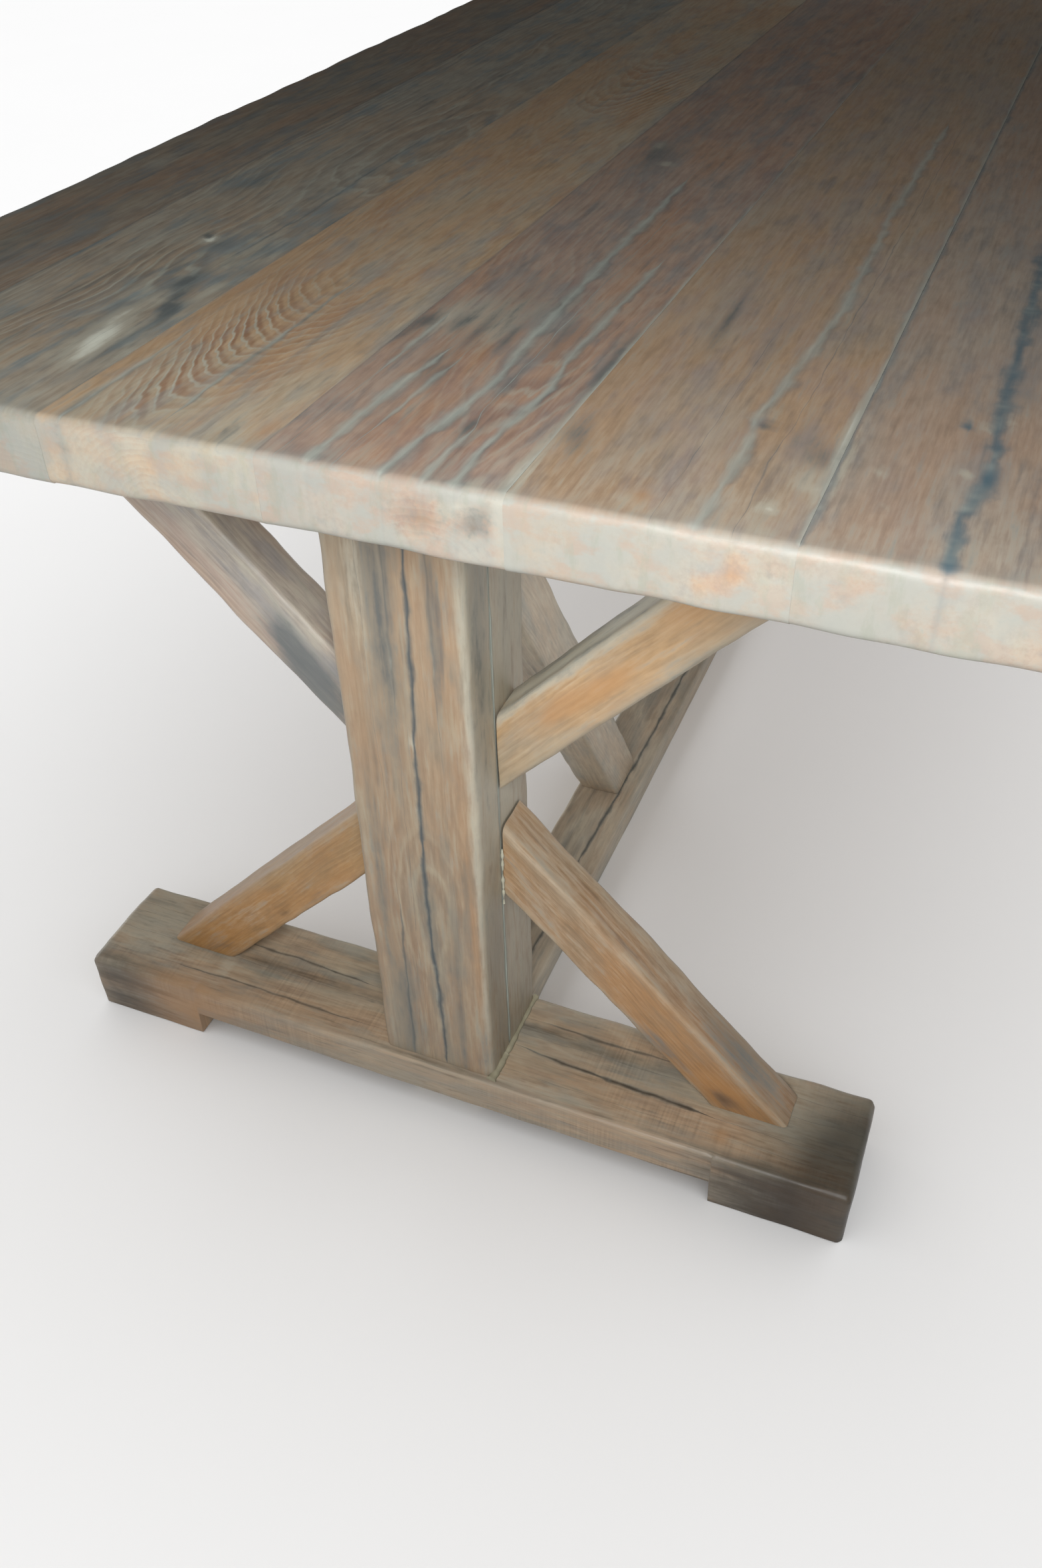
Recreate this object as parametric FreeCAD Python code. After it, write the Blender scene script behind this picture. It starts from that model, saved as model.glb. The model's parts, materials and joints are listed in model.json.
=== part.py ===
import FreeCAD, Part
import math
import os

# Sawbuck dining table of heavy reclaimed timber, in millimetres.
# X runs along the table, Y across it and Z up; the origin is on the floor under the middle.
# End A is at +X. End B is the mirror image of end A in the plane X = 0.

V = FreeCAD.Vector

# ---- Top: six planks side by side, joined by loose tongues ----
table_length = 2200.0
table_height = 780.0
top_thickness = 52.0
plank_widths = [133.0, 172.0, 167.0, 168.0, 173.0, 187.0]
tongue_thickness = 12.0
tongue_width = 24.0
tongue_end_stop = 60.0

# ---- Trestles: foot and head beams with a post between them ----
foot_set_in = 96.0
foot_width = 125.0
foot_length = 840.0
foot_height = 73.0
foot_pad_length = 132.0
head_length = 840.0
head_height = 41.0
post_width = 120.0
post_outer_thickness = 46.5
post_inner_thickness = 69.5
tenon_thickness = 36.0
tenon_width = 70.0
tenon_length = 30.0

# ---- Cross braces: two rise from the post to the head, two fall to the foot ----
brace_thickness = 47.0
brace_depth = 58.0
brace_angle = 46.0
upper_brace_foot_z = 410.0
lower_brace_head_z = 371.0

# ---- Floor rail between the feet, and the long braces that stand on it ----
rail_width = 78.0
rail_thickness = 32.0
rail_shift_y = 1.5
rail_end_set_in = 22.0
long_brace_width = 54.0
long_brace_shift_y = -7.5
long_brace_reach = 385.0
long_brace_seat = 77.0
long_brace_drop = 11.0

# ---- Fastenings ----
dowel_radius = 6.0
dowel_depth = 30.0
dowel_margin = 3.0
head_screw_radius = 2.5
head_screw_length = 78.0
head_screw_head_radius = 5.0
head_screw_head_height = 3.0
head_screw_inset = 24.0
foot_screw_radius = 4.0
foot_screw_length = 100.0
foot_screw_head_radius = 6.5
foot_screw_head_height = 5.3
foot_screw_sink = 8.0
foot_screw_sink_radius = 10.0
foot_screw_spread = 44.0
foot_screw_inset = 20.0
screw_margin = 14.0

# ---- Clearances and rounded edges ----
glue_gap = 0.3
peg_gap = 0.1
mortise_end_gap = 2.0
top_round = 8.0
beam_round = 8.0
brace_round = 6.0

# ---- Places worked out from the sizes above ----
table_width = sum(plank_widths)
half_length = table_length / 2
under_top = table_height - top_thickness
head_bottom = under_top - head_height
foot_notch_height = rail_thickness
foot_outer_x = half_length - foot_set_in
foot_inner_x = foot_outer_x - foot_width
post_inner_x = foot_inner_x
post_seam_x = post_inner_x + post_inner_thickness
post_outer_x = post_seam_x + post_outer_thickness
post_side_y = post_width / 2
brace_slope = math.tan(math.radians(brace_angle))
brace_rise = brace_depth / math.cos(math.radians(brace_angle))
brace_x = (post_seam_x - brace_thickness, post_seam_x)
rail_y = (rail_shift_y - rail_width / 2, rail_shift_y + rail_width / 2)
rail_end_x = foot_outer_x - rail_end_set_in
long_brace_y = (long_brace_shift_y - long_brace_width / 2, long_brace_shift_y + long_brace_width / 2)
long_brace_top_z = under_top - long_brace_drop
long_brace_slope = (long_brace_top_z - rail_thickness) / (long_brace_reach + long_brace_seat)


def box(x, y, z):
    """Box between the two values of each of x, y and z."""
    return Part.makeBox(x[1] - x[0], y[1] - y[0], z[1] - z[0], V(x[0], y[0], z[0]))


def prism(points, along):
    """Flat outline swept along a vector."""
    return Part.Face(Part.makePolygon(points + points[:1])).extrude(along)


def rod(radius, start, end):
    """Round bar from start to end."""
    axis = end - start
    return Part.makeCylinder(radius, axis.Length, start, axis)


def middle_of(edge):
    return edge.valueAt((edge.FirstParameter + edge.LastParameter) / 2)


def runs_along(edge, direction):
    return len(edge.Vertexes) == 2 and abs(edge.tangentAt(edge.FirstParameter).dot(direction)) > 0.999


def rounded(shape, radius, chosen):
    """Shape with every edge rounded that the test chooses."""
    return shape.makeFillet(radius, [edge for edge in shape.Edges if chosen(edge)])


def mirrored_y(shape):
    return shape.mirror(V(0, 0, 0), V(0, 1, 0))


def mirrored_x(shape):
    return shape.mirror(V(0, 0, 0), V(1, 0, 0))


# ---- Top ----

def plank_spans():
    """Y span of each plank, from the left side of the table to the right."""
    spans = []
    low = -table_width / 2
    for width in plank_widths:
        spans.append((low, low + width))
        low += width
    return spans


def tongue(joint_y, grow=0.0):
    """Loose tongue centred on a joint; grow makes the groove that takes it."""
    half_x = half_length - tongue_end_stop + grow
    half_y = tongue_width / 2 + grow
    half_z = tongue_thickness / 2 + grow
    middle_z = under_top + top_thickness / 2
    return box((-half_x, half_x), (joint_y - half_y, joint_y + half_y), (middle_z - half_z, middle_z + half_z))


def plank(span, joints, screw_holes):
    """One plank, rounded where it meets the outside of the top, with its grooves and pilot holes."""
    blank = box((-half_length, half_length), span, (under_top, table_height))
    sides = [y for y in span if abs(abs(y) - table_width / 2) < 0.01]

    def outside(edge):
        point = middle_of(edge)
        at_end = abs(abs(point.x) - half_length) < 0.01
        at_side = any(abs(point.y - y) < 0.01 for y in sides)
        if runs_along(edge, V(0, 1, 0)):
            return at_end
        if runs_along(edge, V(1, 0, 0)):
            return at_side
        return at_end and at_side

    shape = rounded(blank, top_round, outside)
    for joint_y in joints:
        if joint_y in span:
            shape = shape.cut(tongue(joint_y, glue_gap))
    for x, y in screw_holes:
        if span[0] < y < span[1]:
            shape = shape.cut(head_screw(x, y, peg_gap))
            shape = shape.cut(mirrored_x(head_screw(x, y, peg_gap)))
    return shape


# ---- Beams and posts of a trestle ----

def foot_beam():
    """Foot with a raised middle, its mortise, and the holes of the dowels and screws."""
    half = foot_length / 2
    blank = box((foot_inner_x, foot_outer_x), (-half, half), (0, foot_height))
    notch_half = half - foot_pad_length
    notch_x = (foot_inner_x - 1, foot_outer_x + 1)
    blank = blank.cut(box(notch_x, (-notch_half, notch_half), (-1, foot_notch_height)))

    def upper_edge(edge):
        point = middle_of(edge)
        at_end = abs(abs(point.y) - half) < 0.01
        return point.z > foot_height - 0.01 or (at_end and runs_along(edge, V(0, 0, 1)))

    shape = rounded(blank, beam_round, upper_edge)
    shape = shape.cut(tenon(foot_height, -1, glue_gap, mortise_end_gap))
    for hole in brace_seat_dowels(lower_brace_head_z, foot_height, peg_gap) + foot_screws(peg_gap):
        shape = shape.cut(hole)
    return shape


def head_beam(screw_holes):
    """Flat beam under the top, with its mortise, and the holes of the dowels and screws."""
    half = head_length / 2
    blank = box((foot_inner_x, foot_outer_x), (-half, half), (head_bottom, under_top))

    def lower_edge(edge):
        point = middle_of(edge)
        at_end = abs(abs(point.y) - half) < 0.01
        return point.z < head_bottom + 0.01 or (at_end and runs_along(edge, V(0, 0, 1)))

    shape = rounded(blank, beam_round, lower_edge)
    shape = shape.cut(tenon(head_bottom, 1, glue_gap, mortise_end_gap))
    for hole in brace_seat_dowels(upper_brace_foot_z, head_bottom, peg_gap):
        shape = shape.cut(hole)
    for x, y in screw_holes:
        shape = shape.cut(head_screw(x, y, peg_gap))
    return shape


def tenon(shoulder_z, way, grow=0.0, deeper=0.0):
    """Tenon of the inner post beyond a shoulder; grow and deeper make the mortise."""
    middle_x = (post_inner_x + post_seam_x) / 2
    half_x = tenon_thickness / 2 + grow
    half_y = tenon_width / 2 + grow
    z = sorted((shoulder_z, shoulder_z + way * (tenon_length + deeper)))
    return box((middle_x - half_x, middle_x + half_x), (-half_y, half_y), z)


def post(x, arris_x, holes):
    """Post timber between the foot and the head, with two upright edges rounded."""
    blank = box(x, (-post_side_y, post_side_y), (foot_height, head_bottom))

    def arris(edge):
        return runs_along(edge, V(0, 0, 1)) and abs(middle_of(edge).x - arris_x) < 0.01

    shape = rounded(blank, beam_round, arris)
    for hole in holes:
        shape = shape.cut(hole)
    return shape


def post_outer():
    return post((post_seam_x, post_outer_x), post_outer_x, foot_screws(peg_gap))


def post_inner():
    holes = brace_post_dowels(lower_brace_head_z, foot_height, peg_gap)
    holes += brace_post_dowels(upper_brace_foot_z, head_bottom, peg_gap)
    holes += long_brace_post_dowels(peg_gap)
    shape = post((post_inner_x, post_seam_x), post_inner_x, holes)
    return shape.fuse([tenon(foot_height, -1), tenon(head_bottom, 1)]).removeSplitter()


# ---- Cross braces ----

def brace_span(post_z, seat_z):
    """Y where a brace's two edges reach its seat: the edge next to the post first."""
    run = abs(seat_z - post_z)
    return (post_side_y + (run - brace_rise) / brace_slope, post_side_y + run / brace_slope)


def cross_brace(post_z, seat_z):
    """Right-hand brace from the post's side to its seat, cut upright at one end and level at the other."""
    way = 1 if seat_z > post_z else -1
    near_y, far_y = brace_span(post_z, seat_z)
    outline = [(post_side_y, post_z), (post_side_y, post_z + way * brace_rise), (near_y, seat_z), (far_y, seat_z)]
    blank = prism([V(brace_x[0], y, z) for y, z in outline], V(brace_thickness, 0, 0))
    along = V(0, far_y - post_side_y, seat_z - post_z).normalize()
    shape = rounded(blank, brace_round, lambda edge: runs_along(edge, along))
    holes = brace_post_dowels(post_z, seat_z, peg_gap) + brace_seat_dowels(post_z, seat_z, peg_gap)
    for hole in holes:
        shape = shape.cut(hole)
    return shape


def dowel_places(contact, drift):
    """Two places along a contact, clear of a brace that drifts sideways over the dowel's depth."""
    keep = dowel_margin + dowel_radius
    return (keep, contact - drift - keep)


def both_sides(shapes):
    return shapes + [mirrored_y(shape) for shape in shapes]


def brace_post_dowels(post_z, seat_z, grow=0.0):
    """Level dowels between the post's sides and a pair of braces; grow makes their holes."""
    way = 1 if seat_z > post_z else -1
    middle_x = (brace_x[0] + brace_x[1]) / 2
    near_z = post_z + way * brace_rise
    reach = dowel_depth + grow
    places = dowel_places(brace_rise, dowel_depth * brace_slope)
    return both_sides([rod(dowel_radius + grow, V(middle_x, post_side_y - reach, near_z - way * place),
                           V(middle_x, post_side_y + reach, near_z - way * place)) for place in places])


def brace_seat_dowels(post_z, seat_z, grow=0.0):
    """Upright dowels between a pair of braces and the beam they meet; grow makes their holes."""
    middle_x = (brace_x[0] + brace_x[1]) / 2
    near_y, far_y = brace_span(post_z, seat_z)
    reach = dowel_depth + grow
    places = dowel_places(far_y - near_y, dowel_depth / brace_slope)
    return both_sides([rod(dowel_radius + grow, V(middle_x, near_y + place, seat_z - reach),
                           V(middle_x, near_y + place, seat_z + reach)) for place in places])


# ---- Floor rail and long braces ----

def floor_rail():
    """Flat rail on the floor that runs through both feet's notches."""
    blank = box((-rail_end_x, rail_end_x), rail_y, (0, rail_thickness))

    def upper_edge(edge):
        return runs_along(edge, V(1, 0, 0)) and middle_of(edge).z > rail_thickness - 0.01

    shape = rounded(blank, brace_round, upper_edge)
    for hole in long_brace_rail_dowels(peg_gap) + foot_screws(peg_gap):
        shape = shape.cut(hole)
        shape = shape.cut(mirrored_x(hole))
    return shape


def long_brace():
    """Brace from the rail's top to the post's inner face, ending just below the table top."""
    near_x = post_inner_x - long_brace_reach
    far_x = near_x - long_brace_seat
    low_z = rail_thickness + long_brace_reach * long_brace_slope
    outline = [(near_x, rail_thickness), (far_x, rail_thickness),
               (post_inner_x, long_brace_top_z), (post_inner_x, low_z)]
    blank = prism([V(x, long_brace_y[0], z) for x, z in outline], V(0, long_brace_width, 0))
    along = V(1, 0, long_brace_slope).normalize()
    shape = rounded(blank, brace_round, lambda edge: runs_along(edge, along))
    for hole in long_brace_rail_dowels(peg_gap) + long_brace_post_dowels(peg_gap):
        shape = shape.cut(hole)
    return shape


def long_brace_rail_dowels(grow=0.0):
    """Upright dowels between the rail and the long brace."""
    near_x = post_inner_x - long_brace_reach
    middle_y = long_brace_shift_y
    bottom = rail_thickness - min(dowel_depth, rail_thickness * 0.7) - grow
    places = dowel_places(long_brace_seat, dowel_depth / long_brace_slope)
    return [rod(dowel_radius + grow, V(near_x - place, middle_y, bottom),
                V(near_x - place, middle_y, rail_thickness + dowel_depth + grow)) for place in places]


def long_brace_post_dowels(grow=0.0):
    """Level dowels between the inner post and the long brace, below the head."""
    low_z = rail_thickness + long_brace_reach * long_brace_slope
    contact = long_brace_seat * long_brace_slope
    middle_y = long_brace_shift_y
    reach = dowel_depth + grow
    places = dowel_places(contact, dowel_depth * long_brace_slope)
    return [rod(dowel_radius + grow, V(post_inner_x - reach, middle_y, low_z + place),
                V(post_inner_x + reach, middle_y, low_z + place)) for place in places]


# ---- Screws ----

def head_screw(x, y, grow=0.0):
    """Countersunk wood screw that rises through the head into a plank; grow makes its hole."""
    shank = rod(head_screw_radius + grow, V(x, y, head_bottom), V(x, y, head_bottom + head_screw_length + grow))
    head = Part.makeCone(head_screw_head_radius + grow, head_screw_radius + grow,
                         head_screw_head_height, V(x, y, head_bottom))
    return shank.fuse(head).removeSplitter()


def clear_place(low, high, blocked):
    """Place nearest the middle between low and high that no blocked span holds."""
    middle = (low + high) / 2
    for step in range(int((high - low) / 2)):
        for place in (middle - step, middle + step):
            if not any(a < place < b for a, b in blocked):
                return place
    return None


def head_screw_places():
    """Two screws for each plank, clear of the post, the braces' seats and the joints."""
    seat = brace_span(upper_brace_foot_z, head_bottom)
    spans = [(-post_side_y, post_side_y), seat, (-seat[1], -seat[0])]
    blocked = [(a - screw_margin, b + screw_margin) for a, b in spans]
    limit = head_length / 2 - screw_margin
    rows = (foot_inner_x + head_screw_inset, foot_outer_x - head_screw_inset)
    places = []
    for low, high in plank_spans():
        low = max(low + tongue_width, -limit)
        high = min(high - tongue_width, limit)
        y = clear_place(low, high, blocked)
        if y is not None:
            places += [(x, y) for x in rows]
    return places


def foot_screws(grow=0.0):
    """Coach screws from under the rail through the foot into the outer post, heads sunk in the rail."""
    x = rail_end_x - foot_screw_inset
    screws = []
    for side in (-1, 1):
        y = rail_shift_y + side * foot_screw_spread / 2
        shank = rod(foot_screw_radius + grow, V(x, y, foot_screw_sink),
                    V(x, y, foot_screw_sink + foot_screw_length + grow))
        if grow:
            head = rod(foot_screw_sink_radius, V(x, y, -1), V(x, y, foot_screw_sink))
        else:
            head = rod(foot_screw_head_radius, V(x, y, foot_screw_sink - foot_screw_head_height),
                       V(x, y, foot_screw_sink))
        screws.append(shank.fuse(head).removeSplitter())
    return screws


# ---- Assembly ----

def top_pieces(screw_holes):
    spans = plank_spans()
    joints = [span[1] for span in spans[:-1]]
    pieces = {}
    for number, span in enumerate(spans, 1):
        pieces["top_plank_%d" % number] = plank(span, joints, screw_holes)
    for number, joint_y in enumerate(joints, 1):
        pieces["top_tongue_%d" % number] = tongue(joint_y)
    return pieces


def end_pieces(screw_holes):
    """Everything of one end of the table, at end A."""
    upper = cross_brace(upper_brace_foot_z, head_bottom)
    lower = cross_brace(lower_brace_head_z, foot_height)
    brace_dowels = brace_post_dowels(upper_brace_foot_z, head_bottom)
    brace_dowels += brace_seat_dowels(upper_brace_foot_z, head_bottom)
    brace_dowels += brace_post_dowels(lower_brace_head_z, foot_height)
    brace_dowels += brace_seat_dowels(lower_brace_head_z, foot_height)
    return {
        "foot_beam": foot_beam(),
        "head_beam": head_beam(screw_holes),
        "post_outer": post_outer(),
        "post_inner": post_inner(),
        "brace_upper_right": upper,
        "brace_upper_left": mirrored_y(upper),
        "brace_lower_right": lower,
        "brace_lower_left": mirrored_y(lower),
        "long_brace": long_brace(),
        "brace_dowels": Part.makeCompound(brace_dowels),
        "long_brace_dowels": Part.makeCompound(long_brace_rail_dowels() + long_brace_post_dowels()),
        "head_screws": Part.makeCompound([head_screw(x, y) for x, y in screw_holes]),
        "foot_screws": Part.makeCompound(foot_screws()),
    }


def main():
    screw_holes = head_screw_places()
    pieces = top_pieces(screw_holes)
    for name, shape in end_pieces(screw_holes).items():
        pieces[name + "_a"] = shape
        pieces[name + "_b"] = mirrored_x(shape)
    pieces["floor_rail"] = floor_rail()
    os.makedirs("parts", exist_ok=True)
    for name, shape in pieces.items():
        shape.exportStep("parts/%s.step" % name)


main()
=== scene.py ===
import json
import math

import bpy
import numpy as np
from bpy.props import FloatProperty, FloatVectorProperty, PointerProperty
from bpy.types import Operator, Panel, PropertyGroup
from mathutils import Matrix, Vector

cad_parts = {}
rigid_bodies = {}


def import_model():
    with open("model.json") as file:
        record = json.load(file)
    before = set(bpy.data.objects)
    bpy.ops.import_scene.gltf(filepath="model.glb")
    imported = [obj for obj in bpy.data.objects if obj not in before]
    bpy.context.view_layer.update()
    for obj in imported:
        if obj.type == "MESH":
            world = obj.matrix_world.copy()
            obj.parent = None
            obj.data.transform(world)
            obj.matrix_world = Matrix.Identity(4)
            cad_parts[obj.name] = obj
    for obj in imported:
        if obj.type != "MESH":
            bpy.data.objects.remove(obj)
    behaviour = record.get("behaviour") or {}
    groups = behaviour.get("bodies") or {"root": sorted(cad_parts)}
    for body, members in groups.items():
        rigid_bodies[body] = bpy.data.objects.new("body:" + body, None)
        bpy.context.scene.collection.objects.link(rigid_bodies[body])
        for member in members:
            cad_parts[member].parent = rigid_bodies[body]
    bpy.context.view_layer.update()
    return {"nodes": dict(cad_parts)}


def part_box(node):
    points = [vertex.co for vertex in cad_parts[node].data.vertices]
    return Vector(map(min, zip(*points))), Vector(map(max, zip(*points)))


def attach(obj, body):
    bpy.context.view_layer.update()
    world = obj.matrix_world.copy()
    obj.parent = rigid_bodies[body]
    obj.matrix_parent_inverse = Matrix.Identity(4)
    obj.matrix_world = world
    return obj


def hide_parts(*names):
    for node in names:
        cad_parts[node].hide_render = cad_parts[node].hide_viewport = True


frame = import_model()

bl_info = {
    "name": "Sawbuck Table",
    "version": (1, 0, 0),
    "blender": (4, 5, 0),
    "location": "View3D > Sidebar > Table",
    "description": "Dresses the timbers of a sawbuck dining table",
    "category": "Object",
}

MM = 0.001
FAR = 14.0  # half widths of a split beyond which it leaves no mark
WORN_RADIUS = 3 * MM  # an edge that is rounder than this shows wear
SHARP = math.radians(48)  # turn between two faces that shows as a corner
APART = np.array([1.37, 0.61, 0.0])  # how far one seed shifts a timber's grain, in metres


# ---- Smooth random shapes ----

def wander(along, seed, waves):
    """Smooth random curve of about -1 to 1 along a length, made of waves of the given lengths."""
    random = np.random.default_rng(seed)
    total = np.zeros(np.shape(along))
    for wave in waves:
        turns = math.tau * (along / wave + random.random())
        total += np.sin(turns + 0.7 * np.sin(math.tau * along / wave / 2.7))
    return total / len(waves) ** 0.5


def ripple(points, seed, size):
    """Smooth random field of about -1 to 1 over points, with swells of about the given size."""
    random = np.random.default_rng(seed)
    total = np.zeros(len(points))
    for number in range(9):
        way = random.normal(size=3)
        way *= math.tau / size * random.uniform(0.6, 1.7) / np.linalg.norm(way)
        total += np.sin(points @ way + random.uniform(0, math.tau))
    return total / 3


def soft_step(low, high, value):
    share = np.clip((value - low) / (high - low), 0, 1)
    return share * share * (3 - 2 * share)


# ---- Timbers: closed blocks of dense quads ----

BOTH = (-1, 1)  # both sides of an axis

# Edges of a block: (axis, side, axis, side).
ALL_EDGES = [(axis_a, side_a, axis_b, side_b) for axis_a, axis_b in ((0, 1), (0, 2), (1, 2))
             for side_a in BOTH for side_b in BOTH]
LONG_EDGES = [edge for edge in ALL_EDGES if edge[0] == 1]
OUTER_LONG_EDGES = [edge for edge in LONG_EDGES if edge[2:] == (2, 1)]
EDGES_WITHOUT_BOTTOM = [edge for edge in ALL_EDGES if edge[2:] != (2, -1)]
EDGES_WITHOUT_TOP = [edge for edge in ALL_EDGES if edge[2:] != (2, 1)]

EDGE_SHARES = (0.0, 0.42, 0.73, 1.0, 1.45)  # places of the first lines in from an edge, by its radius
LINE_STEP = 8 * MM  # length of a quad along the grain
SPLIT_LINES = np.array([-5, -2.4, -1, 0, 1, 2.4, 5]) * MM  # places of the lines beside a split
SPLIT_SWAY = 0.7 * MM


def cutting_lines(low, high, step, edge, extra=()):
    """Lines across a block: close together at the edges and the extra places, a step apart between."""
    lines = [low + share * edge for share in EDGE_SHARES] + [high - share * edge for share in EDGE_SHARES]
    lines += list(extra)
    inner = np.arange(low + 2.2 * edge, high - 1.6 * edge, step)
    taken = np.array(lines)
    lines += [place for place in inner if np.min(np.abs(taken - place)) > 0.45 * step]
    return np.array(sorted(lines))


def block_skin(lines):
    """Line numbers of the points on a block's skin, and the quads that join them."""
    counts = [len(axis_lines) for axis_lines in lines]

    def number(u, v, w):
        return (u * counts[1] + v) * counts[2] + w

    quads = []
    for across in range(3):
        first, second = (across + 1) % 3, (across + 2) % 3
        a, b = np.meshgrid(np.arange(counts[first] - 1), np.arange(counts[second] - 1), indexing="ij")
        a, b = a.ravel(), b.ravel()
        for level, corners in ((counts[across] - 1, ((0, 0), (1, 0), (1, 1), (0, 1))),
                               (0, ((0, 0), (0, 1), (1, 1), (1, 0)))):
            quad = []
            for step_a, step_b in corners:
                place = [None, None, None]
                place[across] = np.full(len(a), level)
                place[first] = a + step_a
                place[second] = b + step_b
                quad.append(number(*place))
            quads.append(np.stack(quad, 1))
    quads = np.concatenate(quads)
    kept, quads = np.unique(quads, return_inverse=True)
    quads = quads.reshape(-1, 4)
    w = kept % counts[2]
    v = kept // counts[2] % counts[1]
    u = kept // (counts[1] * counts[2])
    return (u, v, w), quads


def inset(points, low, high, axis, side):
    """How far points lie inside one side of a block."""
    return high[axis] - points[:, axis] if side > 0 else points[:, axis] - low[axis]


def ease_edges(points, low, high, edges):
    """Moves a block's skin inward along its edges. Each edge is (axis, side, axis, side, radius)."""
    moved = points.copy()
    for axis_a, side_a, axis_b, side_b, radius in edges:
        out_a = radius - inset(moved, low, high, axis_a, side_a)
        out_b = radius - inset(moved, low, high, axis_b, side_b)
        near = (out_a > 0) & (out_b > 0)
        out_a, out_b = np.where(near, out_a, 1), np.where(near, out_b, 1)
        pull = np.where(near, np.maximum(out_a, out_b) / np.hypot(out_a, out_b) - 1, 0)
        moved[:, axis_a] += side_a * out_a * pull
        moved[:, axis_b] += side_b * out_b * pull
    return moved


class Timber:
    """One timber: a block in its own u (along the grain), v (across) and w (outward) lengths."""

    def __init__(self, name, size, seed, edge, cross_step=6 * MM, splits=(), stations=()):
        self.name, self.size, self.seed, self.splits = name, size, seed, splits
        self.low, self.high = np.array([-side / 2 for side in size]), np.array([side / 2 for side in size])
        across = [split.middle + offset for split in splits for offset in SPLIT_LINES]
        self.lines = [
            cutting_lines(self.low[0], self.high[0], LINE_STEP, edge, stations),
            cutting_lines(self.low[1], self.high[1], cross_step, edge, across),
            cutting_lines(self.low[2], self.high[2], cross_step * 1.6, edge),
        ]
        self.numbers, self.quads = block_skin(self.lines)
        self.points = np.stack([self.lines[axis][self.numbers[axis]] for axis in range(3)], 1)
        self.flat = self.points.copy()
        self.spread_columns()
        self.flat[:, 1] = self.points[:, 1]
        count = len(self.points)
        self.split = np.full(count, FAR)
        self.tone, self.side, self.strength, self.sink = np.zeros((4, count))
        self.figure, self.soot, self.wear, self.rings = np.zeros((4, count))
        self.tints = np.zeros((count, 3))
        self.mark_splits()

    def inside(self, axis, side):
        return inset(self.flat, self.low, self.high, axis, side)

    def near_ends(self, reach):
        """1 at both ends of the timber, fading out over about the given length."""
        return np.exp(-((self.high[0] - np.abs(self.flat[:, 0])) / reach) ** 2)

    def spread_columns(self):
        """Bends the columns of points so that each split has its own column along its path."""
        if not self.splits:
            return
        order = sorted(self.splits, key=lambda split: split.middle)
        along, across = self.lines[0], self.lines[1]
        bent = np.empty((len(along), len(across)))
        shifts = [split.path(along) - split.middle for split in order]
        for row in range(len(along)):
            places, moves = [self.low[1]], [0.0]
            for split, shift in zip(order, shifts):
                places += [split.middle + SPLIT_LINES[0], split.middle + SPLIT_LINES[-1]]
                moves += [shift[row], shift[row]]
            places.append(self.high[1])
            moves.append(0.0)
            bent[row] = across + np.interp(across, places, moves)
        self.points[:, 1] = bent[self.numbers[0], self.numbers[1]]

    def mark_splits(self):
        """Marks the splits and cuts their grooves; both fade out at the timber's ends."""
        for split in self.splits:
            half = split.half_width(self.flat[:, 0])
            off = self.flat[:, 1] - split.path(self.flat[:, 0])
            far = np.minimum(np.abs(off) / np.maximum(half, 0.02 * MM), FAR)
            self.mark(far, np.clip(off / (1.5 * MM), -1, 1), split.tone, split.strength)
            self.sink += split.depth * np.clip(half / split.half, 0, 1) * (1 - soft_step(0, 1.5, far))
        at_end = self.near_ends(4 * MM)
        self.sink *= 1 - at_end
        self.strength *= 1 - 0.82 * at_end
        self.split = np.minimum(self.split * (1 + at_end) + 0.5 * at_end, FAR)

    def mark(self, far, side, tone, strength):
        """Keeps the nearest mark at each point: its distance in half widths, side, tone and strength."""
        nearer = far < self.split
        self.side = np.where(nearer, side, self.side)
        self.tone = np.where(nearer, tone, self.tone)
        self.strength = np.where(nearer, strength, self.strength)
        self.split = np.minimum(far, self.split)

    def seam(self, axis, side, half, tone, strength):
        """Filler line along a flat side of the block, such as a joint between planks."""
        off = self.inside(axis, side)
        half = half * (1 + 0.45 * wander(self.flat[:, 0], self.seed + 5, (0.11, 0.047, 0.31)))
        at_end = self.near_ends(4 * MM)
        far = np.minimum(off / np.maximum(half, 0.05 * MM) + 4 * at_end, FAR)
        self.mark(far, -side, tone, strength)

    def ring_field(self, pith, bend=4 * MM, taper=0.0, swells=(), climb=()):
        """Distance from the heart of the tree, which the growth rings follow."""
        u, v, w = self.flat.T
        shift_v = bend * wander(u, self.seed + 1, (1.3, 0.61, 0.27))
        shift_w = bend * wander(u, self.seed + 2, (1.1, 0.53, 0.3))
        self.rings = np.hypot(v - pith[0] - shift_v, w - pith[1] - shift_w) + taper * u
        for at_u, at_v, long, wide, rise in swells:
            self.rings += rise * np.exp(-((u - at_u) / long) ** 2 - ((v - at_v) / wide) ** 2)
        if climb:
            places, rises = zip(*sorted(climb))
            self.rings += np.interp(u, places, rises)

    def spot(self, kind, at_u, at_v, long, wide, strength, at_w=None, high=0.05):
        """Soft patch of pale, dark or warm timber, of stronger figure, or of soot and painted shade."""
        u, v, w = self.flat.T
        reach = ((u - at_u) / long) ** 2 + ((v - at_v) / wide) ** 2
        if at_w is not None:
            reach = reach + ((w - at_w) / high) ** 2
        patch = strength * np.exp(-reach)
        if kind == "figure":
            self.figure += patch
        elif kind == "soot":
            self.soot += patch
        else:
            self.tints[:, ("pale", "dark", "warm").index(kind)] += patch

    def spots(self, groups, place):
        """Soft patches from {kind: rows of figures}; place turns a row into what spot takes."""
        for kind, rows in groups.items():
            for row in rows:
                self.spot(kind, *place(*row))

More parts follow.
